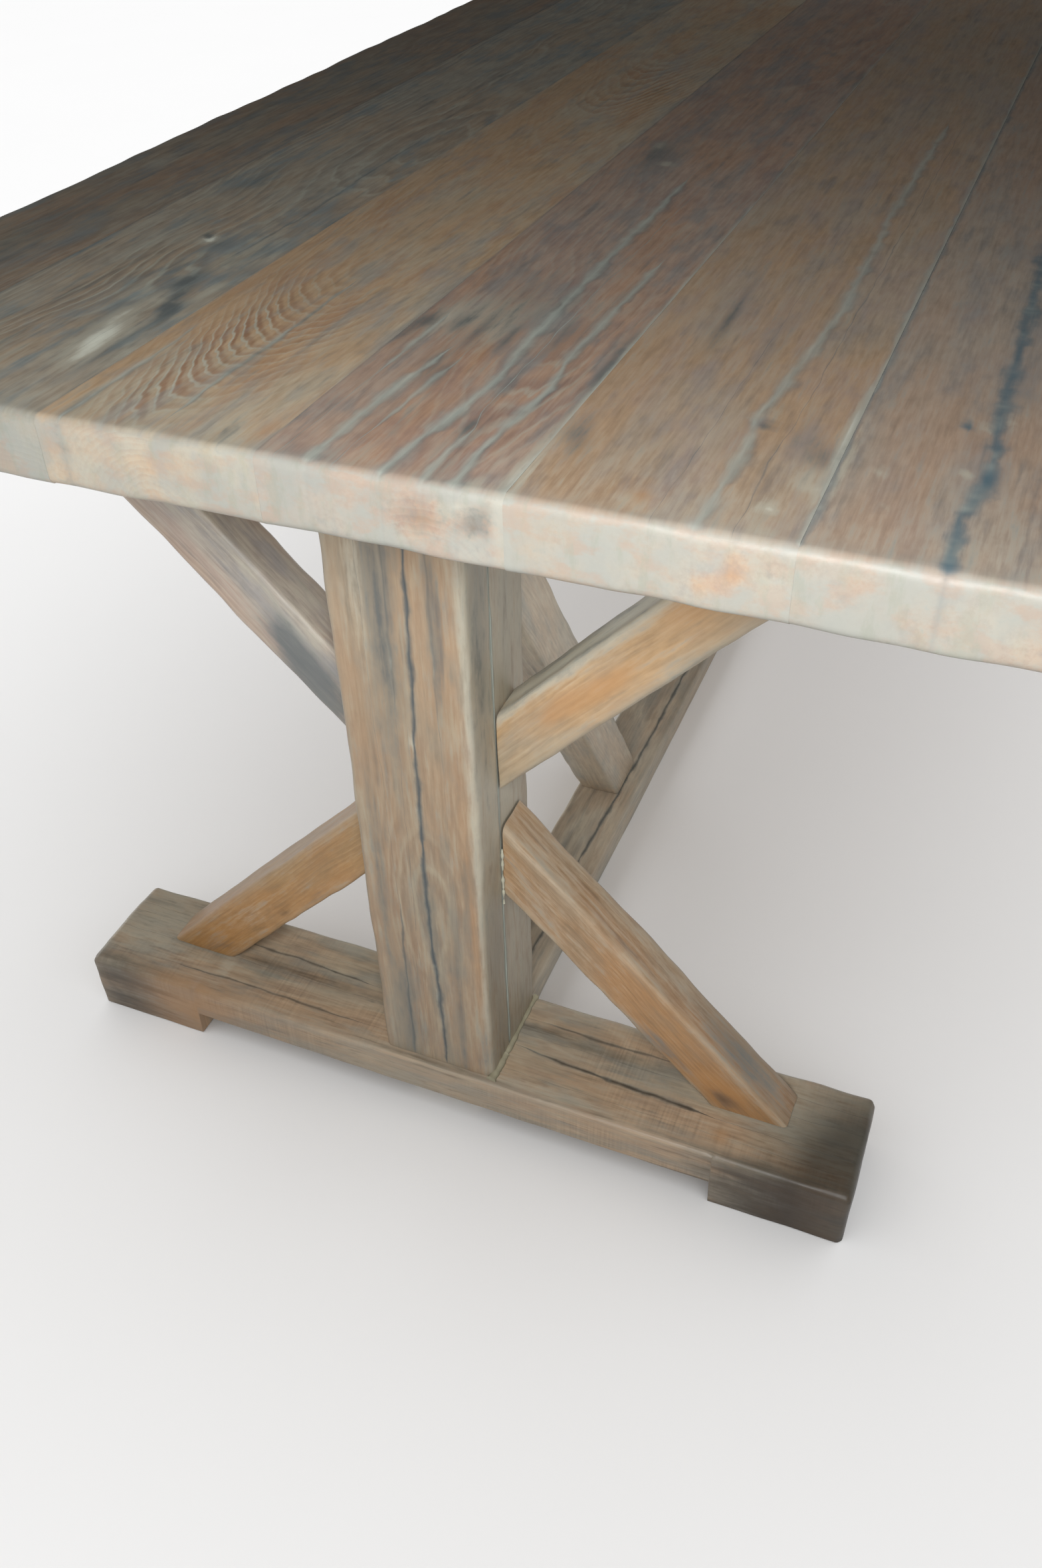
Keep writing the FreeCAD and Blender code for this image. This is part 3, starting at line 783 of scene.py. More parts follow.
# Each plank, with lengths in millimetres: x is measured from end A and y is the row's own.
# A seam is (side, half width, tone, strength) and a split is (points of its path, half width, tone, strength,
# seed, depth, (start, stop)). A swell of the growth rings is (x, y, long, wide, rise), a climb gives their
# rise at places along the plank, and a spot is (x, y, long, wide, strength).
PLANKS = [
    dict(
        seed=11, pith=(-90, -160), taper=0.010,
        seams=((1, 1.0, 0.3, 0.4),),
        look=plank_look((146, 135, 118), (160, 126, 99), (112, 100, 90), (167, 166, 152), (112, 122, 125),
                        figure=0.25, warmth=0.5, streaks=0.65, greying=0.60, stains=0.4, lime=0.2),
        splits=(),
        spots=dict(
            pale=((540, -460, 30, 20, 0.6),),
            dark=((300, -440, 160, 30, 0.4),))),
    dict(
        seed=12, pith=(60, -160), taper=0.006,
        seams=((-1, 1.0, 0.3, 0.4), (1, 0.7, 0.3, 0.2)),
        look=plank_look((159, 152, 137), (168, 141, 112), (116, 108, 99), (178, 185, 171), (118, 133, 137),
                        figure=0.3, warmth=0.5, streaks=0.60, greying=0.65, stains=0.45, lime=0.2),
        splits=(
            (((300, -236), (420, -230), (560, -236), (760, -240)), 1.3, 0.3, 0.5, 31, 0.4, (300, 700)),),
        spots=dict(
            pale=((130, -234, 36, 14, 2.1), (92, -226, 24, 8, 1.2), (172, -246, 24, 8, 1.4),
                  (236, -209, 18, 5, 1.6), (208, -230, 5, 18, 0.8), (214, -243, 16, 4, 0.6),
                  (344, -277, 9, 7, 3.0), (360, -356, 60, 7, 0.7), (1120, -277, 8, 5, 1.3),
                  (25, -215, 16, 5, 0.6)),
            dark=((248, -238, 22, 9, 0.9), (218, -226, 20, 6, 0.9), (194, -220, 12, 7, 1.1),
                  (186, -210, 20, 4, 0.8), (120, -212, 60, 4, 0.6), (150, -256, 50, 4, 0.5),
                  (352, -283, 7, 5, 1.2), (336, -262, 18, 12, 0.5), (300, -372, 60, 9, 0.6),
                  (500, -330, 60, 12, 0.4)),
            warm=((226, -217, 20, 7, 1.2),),
            figure=((250, -270, 80, 40, 0.35),))),
    dict(
        seed=13, pith=(3, -34), taper=0.0, bend=2.0,
        seams=((-1, 0.7, 0.4, 0.25), (1, 0.7, 0.3, 0.2)),
        climb=((-100, 90), (0, 68), (300, 0), (840, -60), (1080, -100), (2300, -190)),
        look=plank_look((176, 162, 139), (185, 148, 108), (143, 108, 83), (178, 180, 165), (138, 141, 139),
                        spacing=4.6 * MM, figure=0.12, warmth=0.6, streaks=0.55, greying=0.50, stains=0.12,
                        lime=0.2, waves=1.0),
        splits=(
            (((-10, -176), (120, -177), (260, -181)), 1.6, 0.75, 0.6, 32, 0.3, (0, 190)),
            (((-10, -107), (100, -108), (300, -108)), 1.8, 0.6, 0.8, 33, 0.3, (20, 300))),
        spots=dict(
            pale=((40, -60, 40, 12, 0.5), (12, -50, 16, 8, 0.8)),
            dark=((20, -177, 30, 4, 0.7), (20, -60, 16, 5, 0.6)),
            warm=((200, -188, 200, 9, 1.3), (700, -170, 300, 16, 1.2), (140, -94, 50, 9, 1.4),
                  (260, -150, 60, 14, 0.7)),
            figure=((160, -140, 110, 26, 0.75), (60, -132, 50, 24, 0.45), (160, -84, 100, 24, 0.25),
                    (950, -80, 130, 50, 0.5)))),
    dict(
        seed=14, pith=(30, -55), taper=0.010,
        seams=((-1, 0.9, 0.3, 0.3), (1, 2.0, 1.0, 0.45)),
        swells=((130, 90, 50, 14, 3), (230, 100, 60, 20, -3), (420, 60, 160, 30, 9),
                (900, 40, 160, 30, -12)),
        climb=((-100, 20), (300, 0), (900, -22), (2300, -40)),
        look=plank_look((163, 142, 126), (169, 132, 104), (126, 105, 97), (163, 163, 150), (118, 124, 125),
                        spacing=5.5 * MM, figure=0.22, warmth=0.55, streaks=0.65, greying=0.55, stains=0.3,
                        lime=0.2),
        splits=(
            (((-10, -14), (95, -12), (150, -10), (245, -10), (420, -14)), 2.8, 0.85, 0.7, 41, 0.2,
             (130, 262)),
            (((-10, 8), (3, 8), (90, 10), (128, 13), (170, 18), (330, 22), (700, 16)), 3.6, 0.9, 0.85, 42,
             0.3, (0, 205)),
            (((-10, 25), (50, 26), (150, 32), (300, 34)), 2.3, 0.85, 0.65, 43, 0.2, (48, 190)),
            (((-10, 57), (3, 58), (65, 63), (128, 69), (160, 72), (200, 68), (330, 64), (800, 60)), 3.3,
             0.85, 0.85, 44, 0.3, (0, 640)),
            (((-10, 88), (3, 87), (45, 84), (75, 89), (110, 82), (330, 80)), 2.4, 0.85, 0.7, 45, 0.2,
             (0, 100)),
            (((-10, 108), (3, 107), (55, 104), (87, 105), (128, 109), (150, 112), (180, 107), (215, 104),
             (420, 108), (900, 100)), 2.7, 0.8, 0.8, 46, 0.3, (0, 420))),
        spots=dict(
            pale=((238, -8, 30, 5, 1.0), (260, 10, 40, 26, 0.8), (222, 38, 40, 10, 0.5),
                  (280, 60, 50, 40, 0.5), (118, 92, 10, 8, 0.6), (730, 3, 14, 6, 1.3), (673, 27, 8, 8, 1.3),
                  (6, 118, 8, 8, 1.0), (30, 138, 55, 5, 1.25), (170, 140, 120, 2.5, 1.4),
                  (400, 140, 200, 2.5, 0.8), (165, 100, 40, 2, 0.9), (10, 56, 50, 90, 0.2)),
            dark=((236, -19, 14, 6, 0.8), (262, 40, 50, 60, 0.15), (210, -26, 26, 6, 0.7),
                  (242, 6, 20, 7, 0.6), (225, 26, 34, 5, 0.6), (215, 50, 30, 4, 0.6), (240, 88, 40, 6, 0.5),
                  (200, 136, 60, 5, 0.7), (300, 40, 60, 40, 0.3), (168, 18, 22, 5, 0.7),
                  (150, 30, 26, 5, 0.7), (700, 10, 60, 18, 0.6), (150, 82, 30, 4, 0.5),
                  (80, 84, 16, 5, 0.7)),
            warm=((930, 35, 40, 14, 0.8), (110, 96, 40, 14, 0.9), (190, 44, 40, 8, 1.6),
                  (90, 46, 60, 10, 1.4)),
            figure=((130, 105, 90, 26, 0.45),))),
    dict(
        seed=15, pith=(-160, -220), taper=0.006,
        seams=((1, 2.2, 0.95, 0.7),),
        look=plank_look((159, 143, 124), (169, 137, 104), (135, 117, 107), (167, 163, 150), (123, 122, 125),
                        figure=0.08, warmth=0.6, streaks=0.55, greying=0.40, stains=0.08, lime=0.15),
        splits=(
            (((-10, 254), (3, 254), (45, 256), (87, 255), (128, 254), (150, 251), (187, 255), (232, 257),
             (295, 261), (350, 265), (600, 258), (1100, 262)), 3.2, 0.8, 0.65, 51, 0.3, (0, 900)),
            (((-10, 276), (45, 275), (100, 274), (160, 276)), 2.6, 0.1, 0.45, 52, 0.3, (36, 104)),
            (((10, 229), (40, 228), (70, 229)), 1.2, 0.1, 0.4, 53, 0.3, (20, 52))),
        spots=dict(
            pale=((165, 256, 14, 3, 0.6), (40, 286, 6, 6, 1.6), (84, 300, 14, 9, 0.8), (70, 304, 6, 8, 0.7),
                  (14, 291, 5, 6, 0.8), (18, 208, 4, 12, 0.8), (160, 311, 44, 4, 1.0),
                  (20, 226, 55, 90, 0.3), (30, 142, 55, 2.5, 1.4), (120, 310, 90, 3, 0.9)),
            dark=((145, 258, 8, 7, 0.9), (165, 263, 12, 5, 0.5), (128, 290, 26, 12, 0.4),
                  (110, 304, 16, 4, 0.6), (34, 292, 3, 5, 0.7), (100, 150, 26, 9, 0.35),
                  (82, 158, 20, 6, 0.35), (330, 190, 70, 4, 0.4), (290, 190, 50, 5, 0.4),
                  (300, 230, 60, 6, 0.3)),
            warm=((29, 216, 16, 10, 1.8),))),
    dict(
        seed=16, pith=(60, -190), taper=0.006,
        seams=((-1, 1.4, 0.4, 0.5),),
        look=plank_look((156, 142, 127), (163, 132, 107), (128, 112, 102), (161, 156, 145), (118, 121, 122),
                        dark=paint(66, 92, 103), figure=0.08, warmth=0.5, streaks=0.55, greying=0.45,
                        stains=0.08, lime=0.15),
        splits=(
            (((-10, 391), (30, 390), (65, 389), (110, 397), (150, 397), (200, 394), (300, 393), (600, 390),
             (1100, 396)), 3.6, 0.3, 0.85, 61, 0.6, (0, 1000)),),
        spots=dict(
            pale=((186, 390, 6, 6, 1.3), (200, 402, 14, 5, 0.6), (105, 338, 6, 4, 0.9),
                  (28, 391, 12, 4, 0.9), (20, 400, 55, 100, 0.3), (110, 317, 60, 3, 0.9),
                  (118, 384, 5, 3, 1.5), (60, 350, 3, 2.5, 1.4), (150, 430, 5, 3, 1.2)),
            dark=((118, 399, 12, 6, 0.9), (184, 377, 7, 5, 0.8), (14, 392, 9, 5, 0.8),
                  (240, 403, 30, 8, 0.3)),
            warm=((100, 440, 60, 20, 0.6),))),
]

# Patches of the near end grain, in millimetres: (y, z, wide, tall, strength).
END_SPOTS = dict(
    pale=((303, 748, 9, 10, 1.0), (108, 768, 9, 6, 1.2), (60, 740, 40, 9, 0.5), (420, 748, 14, 10, 0.6),
          (-160, 742, 40, 10, 0.4)),
    dark=((84, 757, 20, 16, 0.25), (121, 761, 12, 9, 1.15), (392, 762, 2.5, 14, 0.3)),
    warm=((84, 757, 20, 17, 1.5), (121, 761, 10, 8, 1.8), (279, 760, 8, 10, 2.2), (264, 746, 10, 7, 1.7),
          (347, 764, 10, 6, 0.9), (452, 742, 30, 16, 1.0), (-110, 760, 30, 12, 0.5)),
    soot=((84, 757, 22, 16, 0.33), (121, 761, 11, 8, 0.42)))


def plank_splits(spec, end, middle_y):
    """Splits of a plank in its own lengths. One that starts at end A runs over that end."""
    splits = []
    for path, half, tone, strength, seed, depth, (start, stop) in spec["splits"]:
        own = [(end - x * MM, y * MM - middle_y) for x, y in path]
        own.append((-end, own[-1][1]))
        over = 0.1 if start == 0 else 0.0
        splits.append(Split(own, half * MM, depth * MM, tone, strength, seed,
                            reach=(end - stop * MM, end - start * MM + over)))
    return splits


def build_plank(number, spec, settings):
    node = "top_plank_%d" % number
    low, high = cad_box(node)
    middle_y, middle_z = (low[1] + high[1]) / 2, (low[2] + high[2]) / 2
    end = high[0]
    timber = Timber(node, high - low, spec["seed"], cross_step=6.5 * MM, edge=settings.edge_round,
                    splits=plank_splits(spec, end, middle_y))
    for side, half, tone, strength in spec["seams"]:
        timber.seam(1, side, half * MM, tone, strength)
    timber.ring_field([value * MM for value in spec["pith"]], spec.get("bend", 4) * MM, spec["taper"],
                      swells=[(end - x * MM, y * MM - middle_y, long * MM, wide * MM, rise * MM)
                              for x, y, long, wide, rise in spec.get("swells", ())],
                      climb=[(end - x * MM, rise * MM) for x, rise in spec.get("climb", ())])
    timber.spots(spec["spots"], lambda x, y, long, wide, strength: (
        end - x * MM, y * MM - middle_y, long * MM, wide * MM, strength))
    timber.spots(END_SPOTS, lambda y, z, wide, tall, strength: (
        end, y * MM - middle_y, 5 * MM, wide * MM, strength, z * MM - middle_z, tall * MM))
    outside = {1: -1, len(PLANKS): 1}.get(number)  # side of an outer plank that no other plank meets
    edges = [(0, way, 2, face, settings.edge_round) for way in BOTH for face in BOTH]
    for side in BOTH:
        along = settings.edge_round if side == outside else settings.joint_ease
        corner = settings.edge_round if side == outside else settings.joint_ease / 4
        edges += [(1, side, 2, face, along) for face in BOTH]
        edges += [(0, way, 1, side, corner) for way in BOTH]
    timber.ease(edges)
    timber.wear = np.maximum(timber.wear * 0.8, timber.near_ends(3 * MM))
    timber.weather(settings.weathering, 0.16, [side for side in BOTH if side != outside])
    material = timber_finish(node + "_finish", edge_lime=0.9, edge=END_LIME, **spec["look"])
    timber.finish(box_place(low, high), material, "top_planks", node)


class TABLE_OT_top(Operator):
    """Make the six planks of the top"""
    bl_idname = "sawbuck.top"
    bl_label = "Top planks"

    def execute(self, context):
        for number, spec in enumerate(PLANKS, 1):
            build_plank(number, spec, context.scene.sawbuck_top)
        return {"FINISHED"}


# ---- Trestles ----

POST_LOOK = plank_look((142, 126, 105), (148, 120, 92), (112, 91, 73), (157, 151, 130), (106, 111, 105),
                       spacing=5 * MM, figure=0.1, warmth=0.6, streaks=0.45, greying=0.4, stains=0.35,
                       lime=0.4, waves=0.2, contrast=0.8, edge_lime=0.25, dark=paint(64, 72, 76))
BRACE_LOOKS = {
    "upper_right": plank_look(
        (156, 137, 110), (170, 135, 93), (128, 101, 76), (175, 158, 131), (120, 122, 114),
        figure=0.2, warmth=0.65, streaks=0.35, greying=0.25, lime=0.25, edge_lime=0.3),
    "upper_left": plank_look(
        (151, 143, 133), (164, 137, 121), (115, 106, 100), (184, 178, 162), (125, 127, 131),
        figure=0.25, warmth=0.45, streaks=0.4, greying=0.5, lime=0.3, edge_lime=0.35),
    "lower_right": plank_look(
        (148, 120, 89), (160, 117, 72), (112, 85, 61), (168, 146, 116), (118, 113, 99),
        figure=0.2, warmth=0.65, streaks=0.4, greying=0.25, lime=0.2, edge_lime=0.3),
    "lower_left": plank_look(
        (150, 119, 79), (162, 117, 66), (110, 81, 52), (172, 146, 106), (116, 108, 88),
        figure=0.2, warmth=0.65, streaks=0.4, greying=0.2, lime=0.2, edge_lime=0.25),
}
FOOT_LOOK = plank_look((156, 141, 119), (160, 131, 103), (118, 100, 84), (172, 166, 147), (112, 119, 115),
                       figure=0.2, warmth=0.6, streaks=0.6, greying=0.5, stains=0.6, lime=0.25, saw=0.6,
                       waves=0.3, contrast=1.1, edge_lime=0.6, dark=paint(50, 41, 30))
RAIL_LOOK = plank_look((197, 187, 169), (207, 177, 144), (147, 133, 117), (222, 217, 196), (145, 153, 151),
                       figure=0.25, warmth=0.4, streaks=0.4, greying=0.4, lime=0.3, edge_lime=0.3)


def round_edges(rounded, radius, plain):
    """All edges of a block, with one radius for the rounded ones and a plain one for the others."""
    return [(*edge, radius if edge in rounded else plain) for edge in ALL_EDGES]


def beam_block(node, seed, settings, **cuts):
    """A beam that lies across the table, rounded except where its flat face meets its neighbours."""
    low, high = cad_box(node)
    size = (high[1] - low[1], high[0] - low[0], high[2] - low[2])
    return low, high, Timber(node, size, seed, edge=settings.edge_round, **cuts)


BEAM_AXES = {"a": "yxz", "b": "yXz"}  # row axes of a beam's own lengths; a capital turns one round
FOOT_NOTCH_HALF = 0.288  # half length of the hollow under a foot
CROSS_BRACE_DEPTH = 58 * MM
CROSS_BRACE_LEAN = math.radians(46)
LONG_BRACE_SEAT = 77 * MM  # length of a long brace's cut end on the rail

# Seeds of the timbers at end A and end B.
FOOT_SEEDS = {"a": 26, "b": 20}
HEAD_SEEDS = {"a": 36, "b": 30}
POST_SEEDS = {"outer": {"a": 46, "b": 40}, "inner": {"a": 51, "b": 45}}
LONG_BRACE_SEEDS = {"a": 66, "b": 60}

# Cracks along a foot's top, in millimetres: (path of y and v, half width, strength, seed).
# A patch is (y, v, long, wide, strength). v is outward.
FOOT_SPLITS = ((((60, 5), (150, 11), (220, 14), (290, 19)), 1.5, 1.0, 91),
               (((-280, -20), (-200, -19), (-90, -12)), 1.2, 0.8, 92),
               (((70, -32), (160, -30), (260, -34)), 1.1, 0.7, 93),
               (((-330, 36), (-220, 34), (-80, 37)), 1.0, 0.7, 94))
FOOT_SPOTS = dict(
    pale=((-30, 62, 160, 14, 0.5), (-385, -15, 70, 60, 0.8), (-270, 20, 6, 30, 0.7), (120, 50, 60, 8, 0.5)),
    dark=((330, 62, 60, 14, 0.8), (-230, 66, 120, 7, 0.3), (120, -20, 120, 10, 0.6),
          (-200, 0, 140, 10, 0.5), (20, 58, 160, 5, 0.6), (-385, 66, 60, 24, 0.7),
          (-390, -30, 60, 30, 0.35)),
    warm=((289, 34, 14, 12, 1.8), (0, 62, 500, 20, 1.05), (-300, 62, 70, 24, 1.2), (-410, 0, 12, 80, 0.5)))
# Patches of the near foot only. Its right end is darkened with painted shade, partly a dark stain.
NEAR_FOOT_SPOTS = dict(
    pale=((385, -10, 80, 60, 0.8),),
    warm=((385, 66, 45, 14, 0.9),),
    soot=((432, 70, 82, 75, 0.95), (440, -5, 95, 90, 0.8), (385, 68, 60, 8, 0.4)))


def build_foot(end, settings, material):
    node = "foot_beam_" + end
    sliver = 0.5 * MM
    stations = [side * (FOOT_NOTCH_HALF + way * sliver) for side in BOTH for way in BOTH]
    splits = [Split([(y * MM, v * MM) for y, v in path], half * MM, 0.8 * MM, 0.1, strength, seed)
              for path, half, strength, seed in FOOT_SPLITS]
    low, high, timber = beam_block(node, FOOT_SEEDS[end], settings, splits=splits, stations=stations)
    timber.ring_field((-0.02, -0.09), taper=0.012)
    timber.ease(round_edges(EDGES_WITHOUT_BOTTOM, settings.edge_round, 1.2 * MM))
    for spots in (FOOT_SPOTS, NEAR_FOOT_SPOTS if end == "a" else {}):
        timber.spots(spots, lambda y, v, long, wide, strength: (
            y * MM, v * MM, long * MM, wide * MM, strength))
    timber.weather(settings.weathering, 0.13)
    inside = np.abs(timber.flat[:, 0]) < FOOT_NOTCH_HALF
    height = high[2] - low[2]
    share = (timber.points[:, 2] - timber.low[2]) / height
    notch = cad_box("floor_rail")[1][2] / height
    raised = timber.low[2] + height * (notch + share * (1 - notch))
    timber.points[:, 2] = np.where(inside, raised, timber.points[:, 2])
    timber.finish(box_place(low, high, BEAM_AXES[end]), material, "foot_timber", node)


def build_head(end, settings, material):
    node = "head_beam_" + end
    low, high, timber = beam_block(node, HEAD_SEEDS[end], settings)
    timber.ring_field((0.02, -0.09), taper=0.012)
    timber.ease(round_edges(EDGES_WITHOUT_TOP, settings.edge_round, 1.0 * MM))
    timber.weather(settings.weathering * 0.6, 0.13)
    timber.finish(box_place(low, high, BEAM_AXES[end]), material, "head_timber", node)


# Cracks in a post's front, in millimetres: (path of z and y, half width, depth, tone, strength, seed, reach).
# A patch is (z, y, long, wide, strength).
POST_SPLITS = ((((60, 11), (140, 9), (250, 5), (350, 5), (480, 8), (600, 11), (700, 14)),
                1.5, 1.0, 0.1, 1.0, 71, (-30, 740)),
               (((60, 34), (300, 33), (500, 31), (700, 30)), 0.9, 0.4, 0.2, 0.35, 72, (480, 760)),
               (((60, -8), (300, -9), (500, -7), (700, -5)), 0.9, 0.5, 0.2, 0.4, 73, (500, 800)),
               (((60, -26), (300, -24), (500, -28)), 1.0, 0.3, 0.2, 0.6, 74, (-30, 300)))
POST_SPOTS = dict(
    pale=((484, 6, 8, 2.5, 1.2), (408, 6, 7, 2.5, 1.2), (173, 7, 7, 2.5, 1.2), (640, -30, 60, 8, 0.5)),
    dark=((560, -8, 110, 12, 0.4), (640, -20, 90, 3.5, 0.5), (620, -11, 110, 2.5, 0.5),
          (650, -3, 60, 3, 0.4), (600, 34, 80, 6, 0.6), (150, -28, 90, 9, 0.5), (160, 30, 120, 4, 0.5),
          (330, -40, 160, 4, 0.5), (110, 56, 40, 5, 0.5)),
    warm=((420, 46, 180, 10, 1.2), (240, 52, 120, 7, 1.4), (230, -54, 110, 6, 1.2), (500, -50, 60, 8, 0.8)),
    figure=((298, 0, 90, 30, 0.35),))


def build_post(end, half, settings, material):
    node = "post_%s_%s" % (half, end)
    low, high = cad_box(node)
    low[2], high[2] = cad_box("foot_beam_" + end)[1][2], cad_box("head_beam_" + end)[0][2]
    size = (high[2] - low[2], high[1] - low[1], high[0] - low[0])
    middle = (low[2] + high[2]) / 2
    splits = [Split([(z * MM - middle, y * MM) for z, y in path], wide * MM, depth * MM, tone, strength, seed,
                    reach=(start * MM - middle, stop * MM - middle))
              for path, wide, depth, tone, strength, seed, (start, stop) in POST_SPLITS if half == "outer"]
    timber = Timber(node, size, POST_SEEDS[half][end], edge=settings.edge_round, cross_step=5 * MM,
                    splits=splits)
    timber.ring_field((0.012, -0.05) if half == "outer" else (0.0, -0.12), taper=0.01)
    timber.ease(round_edges(OUTER_LONG_EDGES, settings.edge_round, 0.9 * MM))
    timber.seam(2, -1, 1.2 * MM, 1.0, 0.9)
    timber.spot("pale", 0.0, 0.06, 0.5, 0.007, 0.85)
    if half == "outer":
        timber.spot("dark", 0.2, 0.06, 0.18, 0.006, 0.45, 0.0, 0.02)
        # Painted shade: the lower part of the outer post's side is darkened.
        timber.spot("soot", -0.15, 0.06, 0.15, 0.006, 0.4, 0.0, 0.03)
        timber.spots(POST_SPOTS, lambda z, y, long, wide, strength: (
            z * MM - middle, y * MM, long * MM, wide * MM, strength))
    timber.weather(settings.weathering, 0.12)
    outward_axis = "x" if (end == "a") == (half == "outer") else "X"
    timber.finish(box_place(low, high, "zy" + outward_axis), material, "post_timber", node)


# Patches of each cross brace, in metres: (share of the length, v, long, wide, strength, w, thick).
# The share is from its middle, v is 0.0235 at its front and w is 0.029 at the edge that faces the corner
# where the post meets the beam.
BRACE_SPOTS = {
    "upper_right": dict(
        pale=((0.1, 0.0, 0.4, 0.04, 2.0, 0.029, 0.008),),
        dark=((-0.2, 0.02, 0.2, 0.008, 0.6, 0.029, 0.008), (-0.3, -0.02, 0.14, 0.02, 0.8, 0.029, 0.01),
              (0.0, 0.024, 0.3, 0.02, 0.4, -0.027, 0.005)),
        warm=((-0.26, 0.024, 0.035, 0.02, 2.2, 0.004, 0.012),
              (-0.09, 0.024, 0.05, 0.02, 2.2, -0.002, 0.014), (0.24, 0.024, 0.06, 0.02, 1.6, 0.01, 0.02))),
    "upper_left": dict(
        pale=((-0.25, 0.024, 0.03, 0.03, 0.9, 0.012, 0.006), (0.2, 0.02, 0.2, 0.03, 0.3, 0.02, 0.01)),
        dark=((-0.3, 0.024, 0.05, 0.03, 1.3, -0.01, 0.02), (-0.2, 0.024, 0.03, 0.03, 0.9, 0.0, 0.01)),
        warm=((0.1, 0.024, 0.2, 0.03, 1.2, -0.02, 0.01),)),
    "lower_right": dict(
        pale=((0.0, 0.0, 0.4, 0.04, 0.4, -0.029, 0.008), (0.0, 0.0, 0.4, 0.04, 0.6, 0.029, 0.008),
              (-0.36, 0.024, 0.12, 0.02, 0.25, 0.0, 0.03)),
        dark=((0.435, 0.024, 0.015, 0.02, 1.4, 0.006, 0.007), (0.22, 0.024, 0.05, 0.02, 0.6, 0.02, 0.01),
              (0.3, 0.0, 0.06, 0.02, 0.7, -0.029, 0.01)),
        warm=((0.2, 0.024, 0.1, 0.02, 1.0, 0.0, 0.03), (0.41, 0.024, 0.045, 0.02, 2.0, 0.004, 0.02)),
        soot=((0.435, 0.024, 0.015, 0.02, 0.6, 0.006, 0.007),)),
    "lower_left": dict(
        pale=((0.2, 0.024, 0.04, 0.02, 0.4, 0.0, 0.012),),
        warm=((0.32, 0.024, 0.1, 0.02, 1.2, 0.0, 0.03), (0.08, 0.024, 0.03, 0.02, 0.8, 0.01, 0.01)),
        soot=((0.08, 0.024, 0.014, 0.02, 0.6, 0.015, 0.006),)),
}


def build_cross_brace(name, end, settings, material, seed):
    """One of the four diagonal braces of a trestle, named by its height and side."""
    node = "brace_%s_%s" % (name, end)
    low, high = cad_box(node)
    side = 1 if name.endswith("right") else -1
    near, far = (low[1], high[1]) if side > 0 else (high[1], low[1])
    way = 1 if name.startswith("upper") else -1
    post_z, seat_z = (low[2], high[2]) if way > 0 else (high[2], low[2])
    slope = math.tan(CROSS_BRACE_LEAN)
    rise = CROSS_BRACE_DEPTH / math.cos(CROSS_BRACE_LEAN)
    seat_near = near + side * (abs(seat_z - post_z) - rise) / slope
    start = ((0, near, post_z), (0, near, post_z + way * rise))
    finish_at = ((0, far, seat_z), (0, seat_near, seat_z))
    length = math.hypot(far - near, seat_z - post_z)
    size = (length, high[0] - low[0], CROSS_BRACE_DEPTH)
    timber = Timber(node, size, seed, edge=settings.brace_round, cross_step=5 * MM)
    timber.ring_field((0.05, -0.04 if seed % 2 else 0.06), taper=0.01)
    timber.ease(round_edges(LONG_EDGES, settings.brace_round, 0.8 * MM))
    timber.spots(BRACE_SPOTS[name], lambda share, *figures: (share * length, *figures))
    timber.weather(settings.weathering, 0.1)
    x_span = (low[0], high[0]) if end == "a" else (high[0], low[0])
    timber.finish(slanted_place(start, finish_at, x_span, 0), material, "brace_timber", node)


def build_long_brace(end, settings, material):
    node = "long_brace_" + end
    low, high = cad_box(node)
    way = 1 if end == "a" else -1
    post_x, foot_x = (high[0], low[0]) if way > 0 else (low[0], high[0])
    rail_top = low[2]
    run = abs(post_x - foot_x)
    slope = (high[2] - rail_top) / run
    start = ((foot_x + way * LONG_BRACE_SEAT, 0, rail_top), (foot_x, 0, rail_top))
    finish_at = ((post_x, 0, rail_top + (run - LONG_BRACE_SEAT) * slope), (post_x, 0, high[2]))
    depth = LONG_BRACE_SEAT * math.sin(math.atan(slope))
    size = (math.hypot(run, high[2] - rail_top), high[1] - low[1], depth)
    timber = Timber(node, size, LONG_BRACE_SEEDS[end], edge=settings.brace_round, cross_step=5 * MM)
    timber.ring_field((0.03, -0.09), taper=0.01)
    timber.ease(round_edges(LONG_EDGES, settings.brace_round, 0.8 * MM))
    timber.spot("warm", -size[0] / 2, 0, 0.03, 0.05, 1.2)
    timber.weather(settings.weathering, 0.12)
    timber.finish(slanted_place(start, finish_at, (low[1], high[1]), 1), material, "long_brace_timber", node)


def build_floor_rail(settings, material):
    node = "floor_rail"
    low, high = cad_box(node)
    size = high - low
    splits = [Split([(-1, 0.016), (0.2, 0.02), (0.42, 0.019), (0.6, 0.014), (0.8, 0.016), (1, 0.014)],
                    1.3 * MM, 0.8 * MM, 0.1, 0.9, 81, reach=(0.15, 1.2)),
              Split([(-1, -0.01), (-0.4, -0.014), (0, -0.01), (1, -0.012)], 0.9 * MM, 0.6 * MM, 0.3, 0.7, 82,
                    reach=(-0.9, -0.2))]
    timber = Timber(node, size, 70, edge=settings.brace_round, splits=splits)
    timber.ring_field((0.0, -0.12), taper=0.008)
    timber.ease(round_edges(OUTER_LONG_EDGES, settings.brace_round, 1.0 * MM))
    for way in BOTH:
        timber.spot("warm", way * 0.5, -0.01, 0.02, 0.05, 0.9)
    timber.weather(settings.weathering * 0.7, 0.14)
    timber.finish(box_place(low, high), material, "rail_timber", node)


class TABLE_OT_feet(Operator):
    """Make the two foot beams"""
    bl_idname = "sawbuck.feet"
    bl_label = "Foot beams"

    def execute(self, context):
        material = timber_finish("foot_finish", **FOOT_LOOK)
        for end in "ab":
            build_foot(end, context.scene.sawbuck_trestle, material)
        return {"FINISHED"}


